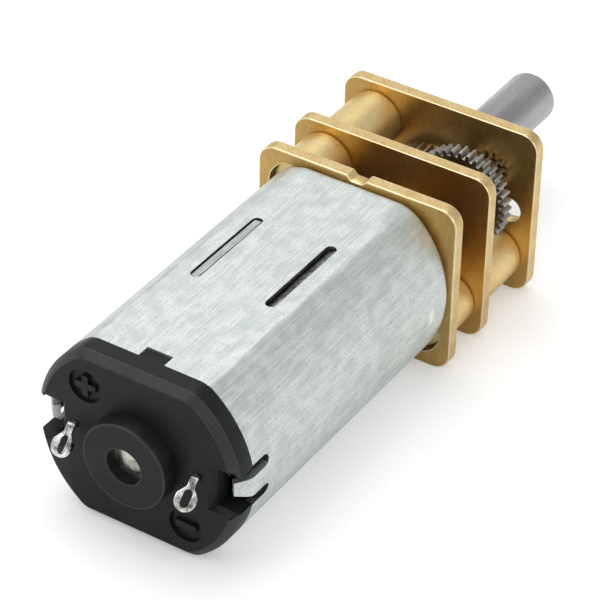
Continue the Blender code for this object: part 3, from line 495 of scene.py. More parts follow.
class Shape:
    """A mesh in the making."""

    def __init__(self) -> None:
        """Starts empty."""
        self.mesh = bmesh.new()

    def line(self, spots: Sequence[Sequence[float]], closed: bool = True) -> List[Edge]:
        """Edges through a row of spots.

        Args:
            spots: the places of the vertices.
            closed: whether the last joins the first.

        Returns:
            The edges.
        """
        corners = [self.mesh.verts.new(spot) for spot in spots]
        pairs = list(zip(corners, corners[1:]))
        if closed:
            pairs.append((corners[-1], corners[0]))
        return [self.mesh.edges.new(pair) for pair in pairs]

    def softened(self, cap: List[Face], width: float, steps: int) -> List[Face]:
        """Rounds or chamfers the rim of a flat cap, which moves out by the width.

        Args:
            cap: the faces of the cap.
            width: the radius of the rim.
            steps: how many facets it has, or 0 for a chamfer with soft edges.

        Returns:
            The faces of the rim.
        """
        turns = [step * pi / 2 / steps for step in range(steps + 1)] if steps else []
        rows = [(cos(a) - cos(b), sin(b) - sin(a)) for a, b in zip(turns, turns[1:])]
        rim = []
        for inward, out in rows or CHAMFER:
            made = bmesh.ops.inset_region(
                self.mesh,
                faces=cap,
                thickness=width * inward,
                depth=width * out,
                use_even_offset=True,
                use_boundary=True,
            )
            rim += made["faces"]
        return rim

    def slab(
        self,
        loops: Sequence[Loop],
        low: float,
        high: float,
        rear: float = 0.05,
        front: float = 0.05,
        steps: int = 2,
        side_slot: int = 0,
        rim_slot: int = 0,
    ) -> Tuple[List[Face], List[Face]]:
        """A flat piece across the shaft, with holes and soft edges.

        Args:
            loops: outlines in y and z; those inside another are holes.
            low: where its rear face is.
            high: where its front face is.
            rear: the radius of the rear edges.
            front: the radius of the front edges.
            steps: facets in those radii, or 0 for chamfers.
            side_slot: the material slot of the walls.
            rim_slot: the material slot of the rims.

        Returns:
            The faces of the rear and of the front.
        """
        lines = [edge for loop in loops for edge in self.line([(low + rear, y, z) for y, z in loop])]
        back = faces_of(bmesh.ops.triangle_fill(self.mesh, use_beauty=True, edges=lines, normal=(1, 0, 0)))
        raised = bmesh.ops.extrude_face_region(self.mesh, geom=back)
        fore = faces_of(raised)
        bmesh.ops.translate(self.mesh, vec=(high - low - rear - front, 0, 0), verts=verts_of(raised))
        walls = {face for line in lines for face in line.link_faces} - set(back)
        bmesh.ops.recalc_face_normals(self.mesh, faces=back + fore + list(walls))
        rims = self.softened(back, rear, steps) if rear else []
        rims += self.softened(fore, front, steps) if front else []
        for face in walls:
            face.material_index = side_slot
        for face in rims:
            face.material_index = rim_slot
        return back, fore

    def pockets(self, cap: List[Face], groups: Sequence[Sequence[Loop]], depth: float) -> None:
        """Sinks pockets into a flat cap.

        Args:
            cap: the faces of the cap.
            groups: for each pocket its outline, and the outlines of what stands up inside it.
            depth: how far along x the floors are from the cap.
        """
        level = cap[0].verts[0].co.x
        inside = set(cap)
        rim = {e for face in cap for e in face.edges if any(f not in inside for f in e.link_faces)}
        bmesh.ops.delete(self.mesh, geom=cap, context="FACES_KEEP_BOUNDARY")
        mouths = [[self.line([(level, y, z) for y, z in loop]) for loop in group] for group in groups]
        lines = list(rim) + [edge for mouth in mouths for ring in mouth for edge in ring]
        bmesh.ops.triangle_fill(self.mesh, use_beauty=True, edges=lines, normal=(-1, 0, 0))
        for mouth in mouths:
            floor = []
            for ring in mouth:
                sunk = bmesh.ops.extrude_edge_only(self.mesh, edges=ring)
                bmesh.ops.translate(self.mesh, vec=(depth, 0, 0), verts=verts_of(sunk))
                floor += edges_of(sunk)
            bmesh.ops.triangle_fill(self.mesh, use_beauty=True, edges=floor, normal=(-1, 0, 0))
        bmesh.ops.recalc_face_normals(self.mesh, faces=self.mesh.faces)

    def turned(self, profile: Sequence[Point], sides: int = 48, centre: Point = ORIGIN) -> None:
        """A profile turned about an axis along the shaft.

        Args:
            profile: places along x and radii. One that doesn't start on the axis is a closed ring.
            sides: facets round the axis.
            centre: the axis in y and z.
        """
        before = set(self.mesh.faces)
        edges = self.line([(x, radius, 0) for x, radius in profile], profile[0][1] > 0)
        corners = list({corner for edge in edges for corner in edge.verts})
        bmesh.ops.spin(
            self.mesh,
            geom=corners + edges,
            cent=(0, 0, 0),
            axis=(1, 0, 0),
            dvec=(0, 0, 0),
            angle=2 * pi,
            steps=sides,
            use_merge=True,
            use_duplicate=False,
        )
        spun = {corner for face in self.mesh.faces if face not in before for corner in face.verts}
        bmesh.ops.remove_doubles(self.mesh, verts=list(spun), dist=WELD)
        made = [face for face in self.mesh.faces if face not in before]
        bmesh.ops.recalc_face_normals(self.mesh, faces=made)
        bmesh.ops.translate(self.mesh, vec=(0, *centre), verts=list({v for face in made for v in face.verts}))

    def weigh_flats(self) -> None:
        """Marks the faces of wide planes as strong, so that soft rims don't tilt the shading beside them."""
        strength = self.mesh.faces.layers.int.new(FACE_STRENGTH)
        self.mesh.normal_update()
        areas: Dict[Tuple[float, ...], float] = {}
        planes: Dict[Face, Tuple[float, ...]] = {}
        for face in self.mesh.faces:
            level = face.normal.dot(face.calc_center_median())
            planes[face] = tuple(round(part, 2) for part in (*face.normal, level))
            areas[planes[face]] = areas.get(planes[face], 0.0) + face.calc_area()
        for face, plane in planes.items():
            face[strength] = STRONG if areas[plane] > WIDE_PLANE else 0


def linked(name: str, data: bpy.types.ID) -> bpy.types.Object:
    """An object in the scene, at the origin.

    Args:
        name: its name.
        data: its mesh, lamp or camera.

    Returns:
        The object.
    """
    made = bpy.data.objects.new(name, data)
    bpy.context.scene.collection.objects.link(made)
    return made


@dataclass
class Bench:
    """Where finished pieces go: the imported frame, and the way from millimetres to its place."""

    frame: Dict[str, object]

    def __post_init__(self) -> None:
        """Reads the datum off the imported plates, and each node's body and material slot off the record."""
        record = self.frame["record"]
        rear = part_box("motor_plate")[0].x
        low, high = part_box("front_plate")
        place = Matrix.Translation((rear, (low.y + high.y) / 2, (low.z + high.z) / 2))
        self.datum = place @ Matrix.Scale(MILLIMETRE, 4)
        bodies = record["behaviour"]["bodies"]
        self.bodies = {node: body for body, nodes in bodies.items() for node in nodes}
        self.slots = {part["node"]: part["material_slot"] for part in record["subparts"]}

    def finished(self, shape: Shape, node: str, finishes: Sequence[Finish]) -> None:
        """Turns a shape into a piece that stands for a node.

        Args:
            shape: the mesh, in millimetres.
            node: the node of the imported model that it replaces.
            finishes: its material slots.
        """
        shape.weigh_flats()
        mesh = bpy.data.meshes.new(f"{node}_shown")
        shape.mesh.to_mesh(mesh)
        shape.mesh.free()
        mesh.transform(self.datum)
        for finish in finishes:
            mesh.materials.append(finish.material())
        mesh.shade_smooth()
        mesh.set_sharp_from_angle(angle=SHARP_ANGLE)
        piece = linked(mesh.name, mesh)
        shading = piece.modifiers.new("even_shading", "WEIGHTED_NORMAL")
        shading.mode = "CORNER_ANGLE"
        shading.keep_sharp = True
        shading.use_face_influence = True
        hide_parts(node)
        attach(piece, self.bodies[node])
        LOG.info("%s: %d faces", piece.name, len(mesh.polygons))

    def dressed(self, node: str, finish: Finish) -> None:
        """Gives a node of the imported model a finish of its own.

        Args:
            node: the node.
            finish: the finish.
        """
        for slot in self.frame["nodes"][node].material_slots:
            slot.material = finish.material()
        LOG.info("%s: dressed", node)


@dataclass
class Gearbox:
    """The three brass plates, with the posts, spacers and screws between them."""

    bench: Bench
    width: float = 12.0
    height: float = 10.0
    corner: float = 1.0
    thickness: float = 0.75
    edge: float = 0.07
    mid_rear: float = 3.4
    front_rear: float = 8.4
    post_place: Point = (3.9, 2.9)
    post: float = 3.2
    post_soft: float = 0.08
    tenon: float = 2.8
    bite: float = 1.9
    tapped: float = 0.77
    clear: float = 0.83
    gap: float = 0.02
    pin_hole: float = 0.84
    bearing_hole: float = 3.24
    journal_hole: float = 1.06
    passing_hole: float = 2.77
    bush_hole: float = 4.24
    mount_hole: float = 1.5
    mount_across: float = 4.5
    screw: float = 1.5
    motor_screw: float = 1.4
    head: float = 2.5
    motor_head: float = 2.3
    slot_width: float = 0.4
    slot_depth: float = 0.3
    upper_pin: Point = (-3.145015, 2.042396)
    motor_screw_rise: float = 3.2
    notch: Profile = ((0.62, 0.0), (0.55, 0.02), (0.36, 0.24), (0.28, 0.27))
    foot_rear: float = 0.45
    foot_soft: Point = (0.05, 0.06)
    screw_play: float = 0.16
    head_play: float = 0.06
    screw_tip: float = 1.5
    motor_screw_tip: float = -1.3
    cone: float = 0.15
    point: float = 0.1
    lap: float = 0.03
    buried_soft: float = 0.01
    head_soft: float = 0.05

    def notched(self) -> Loop:
        """The outline of the motor plate, with the notch in its top edge.

        Returns:
            The points.
        """
        outline = rectangle(self.width, self.height, self.corner)
        corner_points = len(outline) // 4
        soft = [(across, self.height / 2 - depth) for across, depth in self.notch]
        notch = soft + [(-y, z) for y, z in reversed(soft)]
        return outline[:corner_points] + notch + outline[corner_points:]

    def plate(self, node: str, rear: float, outline: Loop, holes: Sequence[Loop]) -> None:
        """One brass plate.

        Args:
            node: the node that it replaces.
            rear: where its rear face is.
            outline: its outline.
            holes: the outlines of its holes.
        """
        # The rims get the pale brass of the painted highlight
        slots = {"side_slot": PlateSlot.EDGE, "rim_slot": PlateSlot.HIGHLIGHT_RIM}
        shape = Shape()
        shape.slab([outline, *holes], rear, rear + self.thickness, self.edge, self.edge, **slots)
        # The faces' darker brass is painted shade, and the rims' paler brass is a painted highlight
        self.bench.finished(shape, node, [SHADED_BRASS_FACE, BRASS_EDGE, BRASS_RIM_HIGHLIGHT])

    def plates(self) -> None:
        """The motor plate, the mid plate and the front plate."""
        plain = rectangle(self.width, self.height, self.corner)
        posts = [opposite(self.post_place, side) for side in (1, -1)]
        lower_pin = opposite(self.upper_pin, -1)
        pins = [circle(self.pin_hole, spot, sides=24) for spot in (self.upper_pin, lower_pin)]
        tenons = [circle(self.tenon + 2 * self.gap, spot) for spot in posts]
        seat = self.motor_head + self.head_play
        seats = [circle(seat, (0, side * self.motor_screw_rise), sides=32) for side in (1, -1)]
        holes = [circle(self.bearing_hole), pins[1], *tenons, *seats]
        self.plate("motor_plate", 0.0, self.notched(), holes)
        screws = [circle(self.screw + self.screw_play, spot, sides=28) for spot in posts]
        holes = [circle(self.journal_hole), circle(self.passing_hole, lower_pin), pins[0], *screws]
        self.plate("mid_plate", self.mid_rear, plain, holes)
        heads = [circle(self.head + self.head_play, spot, sides=36) for spot in posts]
        mounts = [circle(self.mount_hole, (side * self.mount_across, 0), sides=32) for side in (1, -1)]
        holes = [circle(self.bush_hole, sides=56), *pins, *heads, *mounts]
        self.plate("front_plate", self.front_rear, plain, holes)

    def barrelled(self, low: float, high: float) -> List[Point]:
        """The profile of a post's outside with soft ends, from its front to its rear."""
        full, soft = self.post / 2, self.post_soft
        return [(high, full - soft), (high - soft, full), (low + soft, full), (low, full - soft)]

    def posts(self) -> None:
        """The rear posts with their riveted feet, and the front spacers."""
        low, high = self.thickness + self.gap, self.mid_rear - self.gap
        foot, end = self.tenon / 2, self.foot_rear
        along, inward = self.foot_soft
        bore = [(high - self.bite, 0), (high - self.bite, self.tapped), (high, self.tapped)]
        base = [(low, foot), (end + along, foot), (end, foot - inward), (end, 0)]
        post = bore + self.barrelled(low, high) + base
        low, high = self.mid_rear + self.thickness + self.gap, self.front_rear - self.gap
        spacer = [(high, self.clear), *self.barrelled(low, high), (low, self.clear)]
        for side, name in DIAGONAL:
            for kind, profile in (("rear_post", post), ("front_spacer", spacer)):
                shape = Shape()
                shape.turned(profile, centre=opposite(self.post_place, side))
                self.bench.finished(shape, f"{kind}_{name}", [BRASS_TURNED])

    def countersunk(self, node: str, head: float, shank: float, span: Point, centre: Point) -> None:
        """A flush screw with a driver slot.

        Args:
            node: the node that it replaces.
            head: its head's diameter.
            shank: its shank's diameter.
            span: where its tip and its head's top are.
            centre: its axis in y and z.
        """
        tip, top = span
        floor = top - self.slot_depth
        radius, thin = head / 2, shank / 2
        neck = [(floor, 0), (floor, radius - self.gap), (floor - self.cone, thin)]
        end = [(tip + self.point, thin), (tip, thin - self.point), (tip, 0)]
        shape = Shape()
        shape.turned(neck + end, 36, centre)
        start = asin(self.slot_width / 2 / radius)
        for turn in (0.0, pi):
            half = arc(radius, turn + start, turn + pi - start, 24, centre)
            shape.slab([half], floor - self.lap, top, self.buried_soft, self.head_soft)
        self.bench.finished(shape, node, [SCREW_STEEL])

    def screws(self) -> None:
        """The long screws from the front, and those that hold the can."""
        long = (self.screw_tip, self.front_rear + self.thickness - self.gap)
        short = (self.motor_screw_tip, self.thickness - self.gap)
        for side, name in DIAGONAL:
            spot = opposite(self.post_place, side)
            self.countersunk(f"assembly_screw_{name}", self.head, self.screw, long, spot)
            spot = (0.0, side * self.motor_screw_rise)
            self.countersunk(f"motor_screw_{name}", self.motor_head, self.motor_screw, short, spot)

    def build(self) -> None:
        """All the pieces of the gearbox frame."""
        self.plates()
        self.posts()
        self.screws()


@dataclass
class GearTrain:
    """The spur gears from the motor's pinion to the output shaft."""

    bench: Bench
    module: float = 0.15
    pressure: float = radians(20)
    addendum: float = 0.9
    dedendum: float = 1.25
    backlash: float = 0.03
    pin_angle: float = radians(147)
    motor_pinion: int = 16
    first_wheel: int = 34
    pinion: int = 14
    wheel: int = 36
    pin_bore: float = 0.86
    journal_bore: float = 1.06
    seat_bore: float = 2.04
    motor_bore: float = 1.04
    hub: float = 1.6
    soft: float = 0.025
    hub_soft: float = 0.06
    lap: float = 0.01
    buried_soft: float = 0.005
    flank_shares: Tuple[float, ...] = (0.0, 0.3, 0.55, 0.8, 1.0)
    motor_span: Point = (1.1, 2.4)
    first_spans: Tuple[float, ...] = (0.85, 1.35, 2.15, 5.05)
    second_spans: Tuple[float, ...] = (4.25, 4.25, 5.05, 6.1)
    third_spans: Tuple[float, ...] = (4.25, 5.2, 6.0, 8.3)
    output_span: Point = (6.55, 7.85)

    def teeth(self, count: int, phase: float) -> Loop:
        """The outline of a gear with fine involute flanks.

        Args:
            count: how many teeth it has.
            phase: the angle of the first tooth.

        Returns:
            The points.
        """
        pitch = self.module * count / 2
        base = pitch * cos(self.pressure)
        root = pitch - self.dedendum * self.module
        tip = pitch + self.addendum * self.module
        opening = tan(self.pressure) - self.pressure
        half = (pi * self.module - self.backlash) / 4 / pitch
        flank = []
        for share in self.flank_shares:
            radius = root + share * (tip - root)
            slope = acos(min(1.0, base / radius))
            flank.append((radius, half + opening - (tan(slope) - slope)))
        points = []
        for tooth in range(count):
            middle = phase + 2 * pi * tooth / count
            points += [(r * cos(middle - a), r * sin(middle - a)) for r, a in flank]
            points += [(r * cos(middle + a), r * sin(middle + a)) for r, a in reversed(flank)]
        return points

    def meshed(self, driver: int, follower: int, direction: float) -> float:
        """The phase of a follower whose driver has a tooth at zero.

        Args:
            driver: the driver's teeth.
            follower: the follower's teeth.
            direction: the angle from the driver's axis to the follower's.

        Returns:
            The follower's phase.
        """
        offset = -direction * driver / (2 * pi)
        return direction + pi + (0.5 - offset) * 2 * pi / follower

    def compound(
        self, node: str, centre: Point, bore: float, count: int, phase: float, spans: Sequence[float]
    ) -> None:
        """A wheel with its pinion before it and a hub behind it.

        Args:
            node: the node that it replaces.
            centre: its axis in y and z.
            bore: the diameter of its hole.
            count: the wheel's teeth.
            phase: the wheel's phase.
            spans: the places of the hub's rear, the wheel's rear and front, and the pinion's front.
        """
        hub, rear, front, end = spans
        hole = circle(bore, centre, 32)
        shape = Shape()
        shape.slab([moved(self.teeth(count, phase), centre), hole], rear, front, self.soft, self.soft)
        pinion = moved(self.teeth(self.pinion, 0.0), centre)
        shape.slab([pinion, hole], front - self.lap, end, self.buried_soft, self.soft)
        if hub < rear:
            ring = [circle(self.hub, centre), hole]
            shape.slab(ring, hub, rear + self.lap, self.hub_soft, self.buried_soft)
        self.bench.finished(shape, node, [GEAR_STEEL])

    def single(self, node: str, loops: Sequence[Loop], span: Point, finish: Finish) -> None:
        """A gear with one row of teeth.

        Args:
            node: the node that it replaces.
            loops: its teeth and its hole.
            span: where its rear and its front are.
            finish: its finish.
        """
        shape = Shape()
        shape.slab(loops, *span, self.soft, self.soft)
        self.bench.finished(shape, node, [finish])

    def build(self) -> None:
        """All the gears, with their pins and the sleeve."""
        lower = self.pin_angle - pi
        reach = self.module * (self.pinion + self.wheel) / 2
        upper_pin = (reach * cos(self.pin_angle), reach * sin(self.pin_angle))
        lower_pin = opposite(upper_pin, -1)
        first = self.meshed(self.motor_pinion, self.first_wheel, lower)
        inner = self.meshed(self.pinion, self.wheel, self.pin_angle)
        last = self.meshed(self.pinion, self.wheel, lower)
        pinion = [self.teeth(self.motor_pinion, 0.0), circle(self.motor_bore, sides=32)]
        self.single("motor_pinion", pinion, self.motor_span, BRASS_TURNED)
        bore = self.pin_bore
        self.compound("compound_gear_1", lower_pin, bore, self.first_wheel, first, self.first_spans)
        self.compound("compound_gear_2", ORIGIN, self.journal_bore, self.wheel, inner, self.second_spans)
        self.compound("compound_gear_3", upper_pin, bore, self.wheel, inner, self.third_spans)
        wheel = [self.teeth(self.wheel, last), circle(self.seat_bore)]
        self.single("output_gear", wheel, self.output_span, GEAR_STEEL)
        for node in ("gear_pin_lower", "gear_pin_upper"):
            self.bench.dressed(node, SHAFT_STEEL)
        self.bench.dressed("pin_sleeve", BRASS_TURNED)


@dataclass
class OutputShaft:
    """The D shaft, its bush and its washer."""

    bench: Bench
    radius: float = 1.5
    flat: float = 1.0
    flat_start: float = 10.15
    tip: float = 19.15
    shoulder: float = 7.87
    chamfer: float = 0.22
    seat: Point = (6.22, 1.0)
    journal: Point = (3.5, 0.5)
    lap: float = 0.5
    buried_soft: float = 0.01
    bush: Point = (4.2, 3.06)
    bush_span: Point = (8.4, 9.75)
    bush_soft: Point = (0.04, 0.1)

    def build(self) -> None:
        """The shaft with its flat, and the bush that carries it."""
        shape = Shape()
        seat, thick = self.seat
        end, thin = self.journal
        full = [(self.flat_start, 0), (self.flat_start, self.radius), (self.shoulder, self.radius)]
        steps = [(self.shoulder, thick), (seat, thick), (seat, thin), (end, thin), (end, 0)]
        shape.turned(full + steps, sides=64)
        bend = asin(self.flat / self.radius)
        outline = arc(self.radius, -bend, pi + bend, 56)
        shape.slab([outline], self.flat_start - self.lap, self.tip, self.buried_soft, self.chamfer, steps=3)
        self.bench.finished(shape, "output_shaft", [SHAFT_STEEL])
        shape = Shape()
        ring = [circle(diameter, sides=64) for diameter in self.bush]
        shape.slab(ring, *self.bush_span, *self.bush_soft, steps=3)
        self.bench.finished(shape, "output_bush", [BRASS_TURNED])
        self.bench.dressed("thrust_washer", NYLON)


@dataclass
class MotorCan:
    """The drawn can with round sides and two flats."""

    bench: Bench
    radius: float = 5.95
    flats: float = 9.76
    corner: float = 0.5
    front_corner: float = 2.3
    drawn: float = 4.0
    rear: float = -18.3
    front: float = -0.02
    wall: float = 0.4
    rim: float = 0.7
    slit_front: float = -5.6
    slit_length: float = 6.0
    slit_width: float = 0.6
    slit_across: float = 2.2
    fold_line: float = 0.1
    key_half: float = 0.745
    key_length: float = 0.85
    tab_half: float = 0.55
    relief_half: float = 1.2
    relief_length: float = 1.3
    dimple: Point = (-1.55, -0.2)
    dimple_reach: Point = (0.65, 0.75)
    dimple_depth: float = 0.09
    dimple_cuts: int = 9
    dimple_margin: float = 0.5
    # The share of the mark's full depth beyond which the painted highlight goes
    highlight_share: float = 0.6
    side_start: float = 5.0
    side_lean: float = 0.1
    wall_lean: float = 0.5
    relief_shares: Tuple[float, ...] = (0.0, 0.15, 0.5, 0.85, 1.0)
    relief_margin: float = 0.4
    relief_band: float = 0.25
    tab_edge: float = 0.1
    tab_bends: Tuple[Spot, ...] = ((0.1, 0.02, 1.0), (0.25, 0.16, 0.92), (0.45, 0.45, 0.75))
    tongue_gap: float = 0.15
    tongue_width: float = 0.95
    tongue_tuck: float = 0.1
    tongue_curl: float = 1.5
    tongue_steps: int = 10
    tongue_under: Point = (0.05, 0.15)
    tongue_soft: float = 0.03
    left_dip: Point = (0.03, 0.05)
    right_dip: Point = (0.06, 0.22)
    level_flat: float = 0.999
    flat_area: float = 50.0

    def outline(self, corner: float) -> Loop:
        """The section in y and z, with points where the side reliefs start, turn and end.

        Args:
            corner: the radius where a side meets a flat.

        Returns:
            The points.
        """
        span = self.relief_half - self.tab_half
        heights = [self.tab_half + span * share for share in self.relief_shares]
        stops = [side * rise for side in (1, -1) for rise in heights]
        return barrel(self.radius, self.flats, corner, stops)

    def reopened(self, shape: Shape, face: Face) -> None:
        """Puts the slits, and on top the key notch, into a flat.

        Args:
            shape: the can.
            face: the flat's one face.
        """
        mesh = shape.mesh
        level = face.calc_center_median().z
        top = level > 0
        edges = sorted(face.edges, key=lambda e: (e.verts[0].co.x + e.verts[1].co.x) / 2)
        rear_edge = edges[0]
        lines = edges[1:] if top else list(edges)
        ends = sorted(rear_edge.verts, key=lambda v: -v.co.y)
        bmesh.ops.delete(mesh, geom=[face], context="FACES_ONLY")
        if top:
            bmesh.ops.delete(mesh, geom=[rear_edge], context="EDGES")
            floor = self.rear + self.key_length
            half = self.key_half
            path = [(self.rear, half), (floor, half), (floor, -half), (self.rear, -half)]
            notch = shape.line([(x, y, level) for x, y in path], False)
            lines += notch
            lines.append(mesh.edges.new((ends[0], notch[0].verts[0])))
            lines.append(mesh.edges.new((notch[-1].verts[1], ends[1])))
        reach = (self.slit_length - self.slit_width) / 2
        middle = self.slit_front - self.slit_length / 2
        for side in (1, -1):
            across = side * self.slit_across
            fore = arc(self.slit_width / 2, -pi / 2, pi / 2, 6, (middle + reach, across))
            aft = arc(self.slit_width / 2, pi / 2, 3 * pi / 2, 6, (middle - reach, across))
            lines += shape.line([(x, y, level) for x, y in fore + aft])
        bmesh.ops.triangle_fill(mesh, use_beauty=True, edges=lines, normal=(0, 0, 1 if top else -1))

    def side_faces(self, shape: Shape, limit: float, side: int = 0) -> List[Face]:
        """The faces of the round sides within a height of the axis.

        Args:
            shape: the can.
            limit: the height.
            side: 1 for the left side, -1 for the right one, or 0 for both.

        Returns:
            The faces.
        """
        faces = []
        for face in shape.mesh.faces:
            spot = face.calc_center_median()
            near = abs(spot.z) < limit and abs(face.normal.x) < self.side_lean
            if near and spot.y * (side or spot.y) > 0:
                faces.append(face)
        return faces

    def split(self, shape: Shape, faces: Sequence[Face], level: float) -> None:
        """Cuts faces across at a place along the shaft.

        Args:
            shape: the can.
            faces: the faces.
            level: the place.
        """
        edges = {edge for face in faces for edge in face.edges}
        corners = {corner for edge in edges for corner in edge.verts}
        bmesh.ops.bisect_plane(
            shape.mesh,
            geom=[*faces, *edges, *corners],
            dist=WELD,
            plane_co=(level, 0, 0),
            plane_no=(1, 0, 0),
        )

    def on_tab(self, corner: Vert, side: int) -> bool:
        """Whether a vertex is on the rear end of the tab of a side."""
        rear = abs(corner.co.x - self.rear) < WELD and abs(corner.co.z) < self.tab_half + WELD
        return rear and corner.co.y * side > self.side_start

    def reliefs(self, shape: Shape) -> None:
        """Opens the slots beside each side tab, and bends the tabs in over the cap.

        Args:
            shape: the can.
        """
        mesh = shape.mesh
        floor = self.rear + self.relief_length
        for level in (floor, floor + self.relief_band):
            self.split(shape, self.side_faces(shape, self.relief_half + self.relief_margin), level)
        gone = []
        for face in self.side_faces(shape, self.relief_half):
            spot = face.calc_center_median()
            if abs(spot.z) > self.tab_half and spot.x < floor:
                gone.append(face)
        bmesh.ops.delete(mesh, geom=gone, context="FACES")
        middle, half = (self.relief_half + self.tab_half) / 2, (self.relief_half - self.tab_half) / 2
        for corner in mesh.verts:
            aside = abs(abs(corner.co.z) - middle)
            if abs(corner.co.x - floor) < WELD and aside < half + WELD:
                corner.co.x -= half - sqrt(max(half**2 - aside**2, 0.0))
        for side in (1, -1):
            ends = [edge for edge in mesh.edges if all(self.on_tab(v, side) for v in edge.verts)]
            for back, inward, narrow in self.tab_bends:
                grown = bmesh.ops.extrude_edge_only(mesh, edges=ends)
                bmesh.ops.translate(mesh, vec=(-back, -side * inward, 0), verts=verts_of(grown))
                bmesh.ops.scale(mesh, vec=(1, 1, narrow), verts=verts_of(grown))
                ends = edges_of(grown)

    def sunk(self, spot: Vector) -> float:
        """How far the stake mark is pressed in at a place.

        Args:
            spot: the place.

        Returns:
            A share of the full depth, from 1 at the mark's rear edge to 0 at its front and around it.
        """
        along, rise = self.dimple
        long, tall = self.dimple_reach
        half = sqrt(max(1 - ((spot.z - rise) / tall) ** 2, 0.0))
        place = (spot.x - along) / long
        return (half - place) / 2 if spot.y < -self.side_start and abs(place) < half else 0.0

    def dimpled(self, shape: Shape) -> None:
        """Presses the stake mark into the right side near the front, deepest at its rear, where the faces get
        a painted highlight.

        Args:
            shape: the can.
        """
        along, long = self.dimple[0], self.dimple_reach[0]
        limit = self.dimple_reach[1] + self.dimple_margin
        for step in range(-self.dimple_cuts, self.dimple_cuts + 1):
            self.split(shape, self.side_faces(shape, limit, -1), along + long * step / self.dimple_cuts)
        sides = self.side_faces(shape, limit, -1)
        patch = [face for face in sides if abs(face.calc_center_median().x - along) < long]
        edges = {edge for face in patch for edge in face.edges}
        upright = [edge for edge in edges if abs(edge.verts[0].co.x - edge.verts[1].co.x) < WELD]
        bmesh.ops.subdivide_edges(shape.mesh, edges=upright, cuts=3, use_grid_fill=True)
        # Faces deep in the mark get the painted highlight
        for face in shape.mesh.faces:
            if self.sunk(face.calc_center_median()) > self.highlight_share:
                face.material_index = CanSlot.STAKE_HIGHLIGHT
        for corner in shape.mesh.verts:
            corner.co.y += self.dimple_depth * self.sunk(corner.co)

    def shade_slit_walls(self, shape: Shape) -> None:
        """Paints the walls of the slits and of the side reliefs near black, a painted shade for those narrow
        openings.

        Args:
            shape: the can.
        """
        shape.mesh.normal_update()
        rear, front = self.slit_front - self.slit_length - WELD, self.slit_front + WELD
        floor = self.rear + self.relief_length + WELD
        for face in shape.mesh.faces:
            spot, way = face.calc_center_median(), face.normal
            beside = abs(abs(spot.y) - self.slit_across) < self.slit_width
            in_slit = beside and rear < spot.x < front and abs(way.z) < self.wall_lean
            across = self.tab_half + self.tab_edge < abs(spot.z) < self.relief_half + WELD
            in_relief = across and spot.x < floor and abs(way.y) < self.wall_lean
            if in_slit or in_relief:
                face.material_index = CanSlot.CUT

    def tongues(self, shape: Shape) -> None:
        """The strips that lancing the slits pressed in, each still joined along its right edge, both painted
        darker than the can as painted shade.

        Args:
            shape: the can.
        """
        low = self.slit_front - self.slit_length + self.tongue_gap
        high = self.slit_front - self.tongue_gap
        top, reach, soft = self.flats / 2, self.slit_width, self.tongue_soft
        inward, down = self.tongue_under
        shares = [step / self.tongue_steps for step in range(self.tongue_steps + 1)]
        strips = ((1, self.left_dip, CanSlot.SHADED_LEFT_TONGUE), (-1, self.right_dip, CanSlot.SHADED_RIGHT_TONGUE))
        for side, (start, sunk), slot in strips:
            root = side * self.slit_across - reach / 2
            across = [root + reach * (self.tongue_width * s - self.tongue_tuck) for s in shares]
            upper = [(y, top - start - sunk * s**self.tongue_curl) for y, s in zip(across, shares)]
            under = [(y - inward, z - down) for y, z in reversed(upper)]
            for level in (1, -1):
                loop = [(y, level * z) for y, z in upper + under]
                rear, front = shape.slab([loop], low, high, soft, soft, steps=1, side_slot=slot)
                # The tongues' ends get the painted shade of the slit walls
                for end in rear + front:
                    end.material_index = CanSlot.CUT
            # The left tongue's strip beside its fold gets that painted shade too
            for face in shape.mesh.faces:
                on_left_tongue = face.material_index == CanSlot.SHADED_LEFT_TONGUE
                if on_left_tongue and face.calc_center_median().y < root + self.fold_line:
                    face.material_index = CanSlot.CUT

    def build(self) -> None:
        """The can as one wall of even thickness, with its lanced tongues."""
        shape = Shape()
        mesh = shape.mesh
        plain, drawn = self.outline(self.corner), self.outline(self.front_corner)
        lines = shape.line([(self.rear, y, z) for y, z in plain])
        base = bmesh.ops.contextual_create(mesh, geom=lines)["faces"]
        cap = base
        for length in (self.front - self.drawn - self.rear, self.drawn - self.rim):
            raised = bmesh.ops.extrude_face_region(mesh, geom=cap)
            cap = faces_of(raised)
            bmesh.ops.translate(mesh, vec=(length, 0, 0), verts=verts_of(raised))
        for corner in verts_of(raised):
            place = min(range(len(plain)), key=lambda spot: (corner.co.yz - Vector(plain[spot])).length)
            corner.co.yz = drawn[place]
        bmesh.ops.recalc_face_normals(mesh, faces=mesh.faces)
        shape.softened(cap, self.rim, steps=6)
        bmesh.ops.delete(mesh, geom=base, context="FACES_ONLY")
        levels = [face for face in mesh.faces if abs(face.normal.z) > self.level_flat]
        for face in [face for face in levels if face.calc_area() > self.flat_area]:
            self.reopened(shape, face)
        self.reliefs(shape)
        self.dimpled(shape)
        bmesh.ops.remove_doubles(mesh, verts=mesh.verts, dist=WELD)
        bmesh.ops.recalc_face_normals(mesh, faces=mesh.faces)
        bmesh.ops.solidify(mesh, geom=mesh.faces[:], thickness=self.wall)
        self.shade_slit_walls(shape)
        self.tongues(shape)
        self.bench.finished(shape, "motor_can", [ZINC, SLIT_SHADE, SHADED_RIGHT_TONGUE, STAKE_HIGHLIGHT, SHADED_LEFT_TONGUE])


